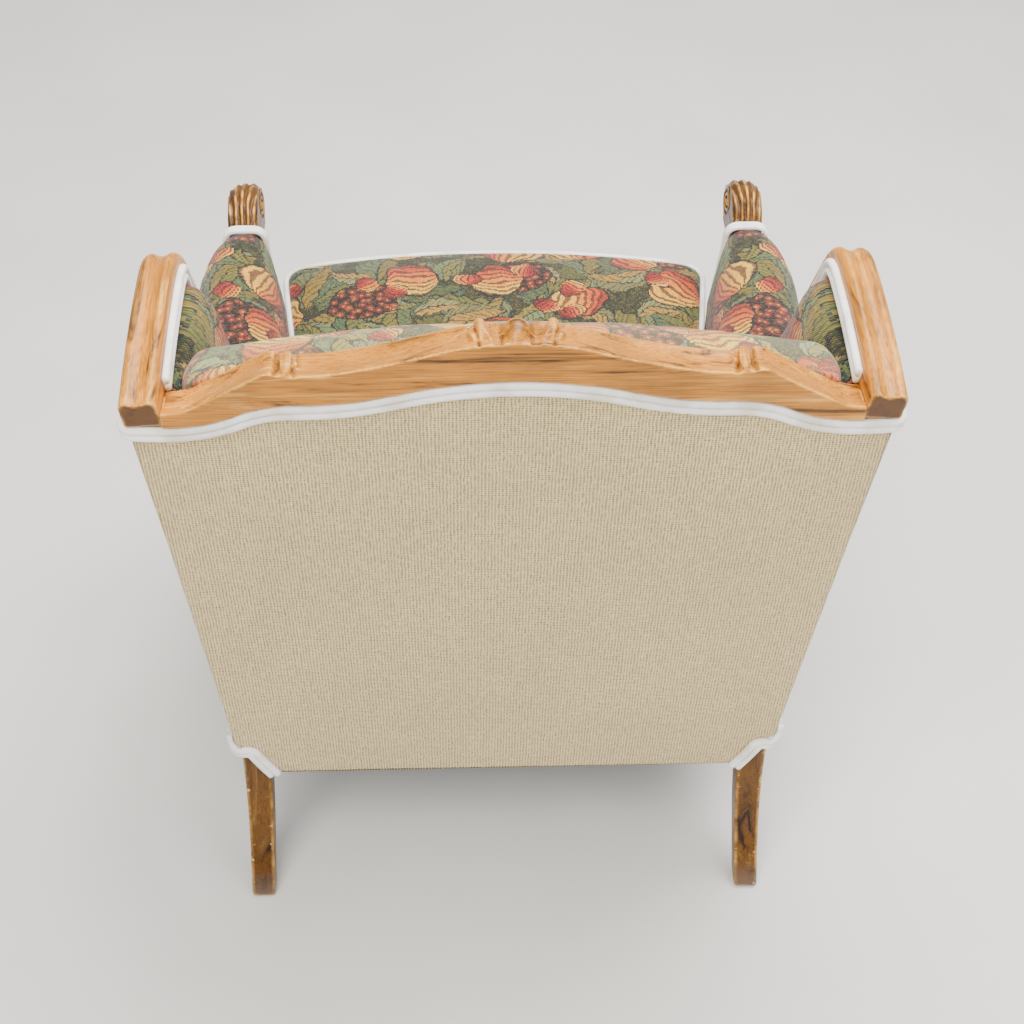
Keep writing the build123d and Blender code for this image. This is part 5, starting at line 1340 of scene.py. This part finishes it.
class BuildWelts(Build):
    """Ivory double welts along the wood"""

    bl_idname = "bergere.welts"
    bl_label = "Double welts"

    def make(self, sizes):
        section, slim = double_cord(sizes.cord * 1000), double_cord(sizes.cord * SLIM)
        ivory = made_once(ivory_welt)
        trim = carried("trim", section, *crest_trim_line())
        wings = ["outer_wing_welt_" + side for side in SIDES]
        new_piece("crest_welt", trim, CHAIR, "welt_cord", ivory, "back_welt", *wings)
        half = SIDE_AT[0] - SIDE_INSET - 34.0 - WELT_GAP
        front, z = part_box("deck_border")[0].y * 1000, RAIL_TOP + WELT_WIDTH / 2
        path = evenly([(-half, front, z), (half, front, z)], 8.0)
        trim = carried("trim", section, path, np.tile(-ALONG_Y, (len(path), 1)))
        new_piece("apron_welt", trim, CHAIR, "welt_cord", ivory, "front_rail_welt")
        along_wing = evenly(wing_line(WING_DEPTH / 2 - WING_LIP - WELT_WIDTH / 2, 26.0), 4.0)
        sunk = WING_PROUD - WING_WIDTH + 4.0 * ease(10, 60, WING_CROWN_Y - along_wing[:, 0])
        arm = evenly(arm_trim_line(), 3.0)
        turn = np.gradient(arm, axis=0)
        collar = [(x, HAND_Y + WELT_WIDTH / 2, z) for x, z in arm]
        lines = {
            "wing_welt": ([on_side(y, t, w) for (y, t), w in zip(along_wing, sunk)], -SIDE_OUT),
            "leg_welt": leg_trim_line(),
            "arm_welt": (collar, np.column_stack((-turn[:, 1], 0 * turn[:, 0], turn[:, 0]))),
        }
        for node, (path, out) in lines.items():
            out = np.broadcast_to(out, np.shape(path))
            for side, made in both(carried("trim", slim if node == "arm_welt" else section, path, out)):
                new_piece(node + "_cord_" + side, made, CHAIR, "welt_cord", ivory, node + "_" + side)


class BuildStage(Build):
    """Pale floor, soft studio light and the camera"""

    bl_idname = "bergere.stage"
    bl_label = "Stage"

    def make(self, sizes):
        put = bpy.context.scene.collection.objects.link
        mesh = bpy.data.meshes.new("floor")
        mesh.from_pydata([(-9, -9, 0), (9, -9, 0), (9, 9, 0), (-9, 9, 0)], [], [(0, 1, 2, 3)])
        floor = bpy.data.objects.new("floor", mesh)
        put(floor)
        material, t = blank("painted_studio_floor")
        tone = ramp(t, noise(t, solid_place(t), 3.0, 6.0), (0.3, "#D6D4D0"), (0.7, colours().floor))
        mesh.materials.append(dress(material, tone, 0.7))
        for name, at, aim, size, power, warm in LIGHTS:
            lamp = bpy.data.lights.new(name, "AREA")
            lamp.size, lamp.energy, lamp.color = size, power, warm
            obj = bpy.data.objects.new(name, lamp)
            obj.location = at
            obj.rotation_euler = (Vector(aim) - Vector(at)).to_track_quat("-Z", "Y").to_euler()
            put(obj)
        world = bpy.data.worlds.new("studio")
        world.use_nodes = True
        sky = world.node_tree.nodes["Background"].inputs
        sky["Color"].default_value, sky["Strength"].default_value = linear("#EEF2F5"), 0.66
        bpy.context.scene.world = world
        yaw, pitch, roll = (math.radians(a) for a in CAMERA_TURN)
        look = Vector((math.sin(yaw) * math.cos(pitch), -math.cos(yaw) * math.cos(pitch), -math.sin(pitch)))
        turn = look.to_track_quat("-Z", "Y") @ Quaternion((0, 0, 1), roll)
        lens = bpy.data.cameras.new("camera")
        lens.sensor_width, lens.sensor_fit, lens.lens = 36.0, "HORIZONTAL", CAMERA_LENS
        camera = bpy.data.objects.new("camera", lens)
        camera.matrix_world = Matrix.Translation(CAMERA_AT) @ turn.to_matrix().to_4x4()
        put(camera)
        bpy.context.scene.camera = camera


class BergerePanel(bpy.types.Panel):
    """Buttons and settings of the chair"""

    bl_idname = "VIEW3D_PT_bergere"
    bl_label = "Bergere"
    bl_space_type = "VIEW_3D"
    bl_region_type = "UI"
    bl_category = "Bergere"

    def draw(self, context):
        for step in STEPS:
            self.layout.operator(step.bl_idname)
        for settings in (context.scene.bergere_sizes, context.scene.bergere_colours):
            box = self.layout.box()
            for key in settings.bl_rna.properties.keys():
                if key not in ("rna_type", "name"):
                    box.prop(settings, key)


STEPS = (
    BuildCrest, BuildWingRails, BuildArms, BuildLegs, BuildSeatRails, BuildInsideBack, BuildWingPads,
    BuildArmPads, BuildCushion, BuildDeck, BuildPanels, BuildWelts, BuildStage,
)
CLASSES = (BergereColours, BergereSizes, *STEPS, BergerePanel)


def register():
    for item in CLASSES:
        bpy.utils.register_class(item)
    bpy.types.Scene.bergere_colours = PointerProperty(type=BergereColours)
    bpy.types.Scene.bergere_sizes = PointerProperty(type=BergereSizes)


def unregister():
    del bpy.types.Scene.bergere_sizes
    del bpy.types.Scene.bergere_colours
    for item in reversed(CLASSES):
        bpy.utils.unregister_class(item)


def main():
    register()
    for step in STEPS:
        family, name = step.bl_idname.split(".")
        getattr(getattr(bpy.ops, family), name)()


if __name__ == "__main__":
    main()
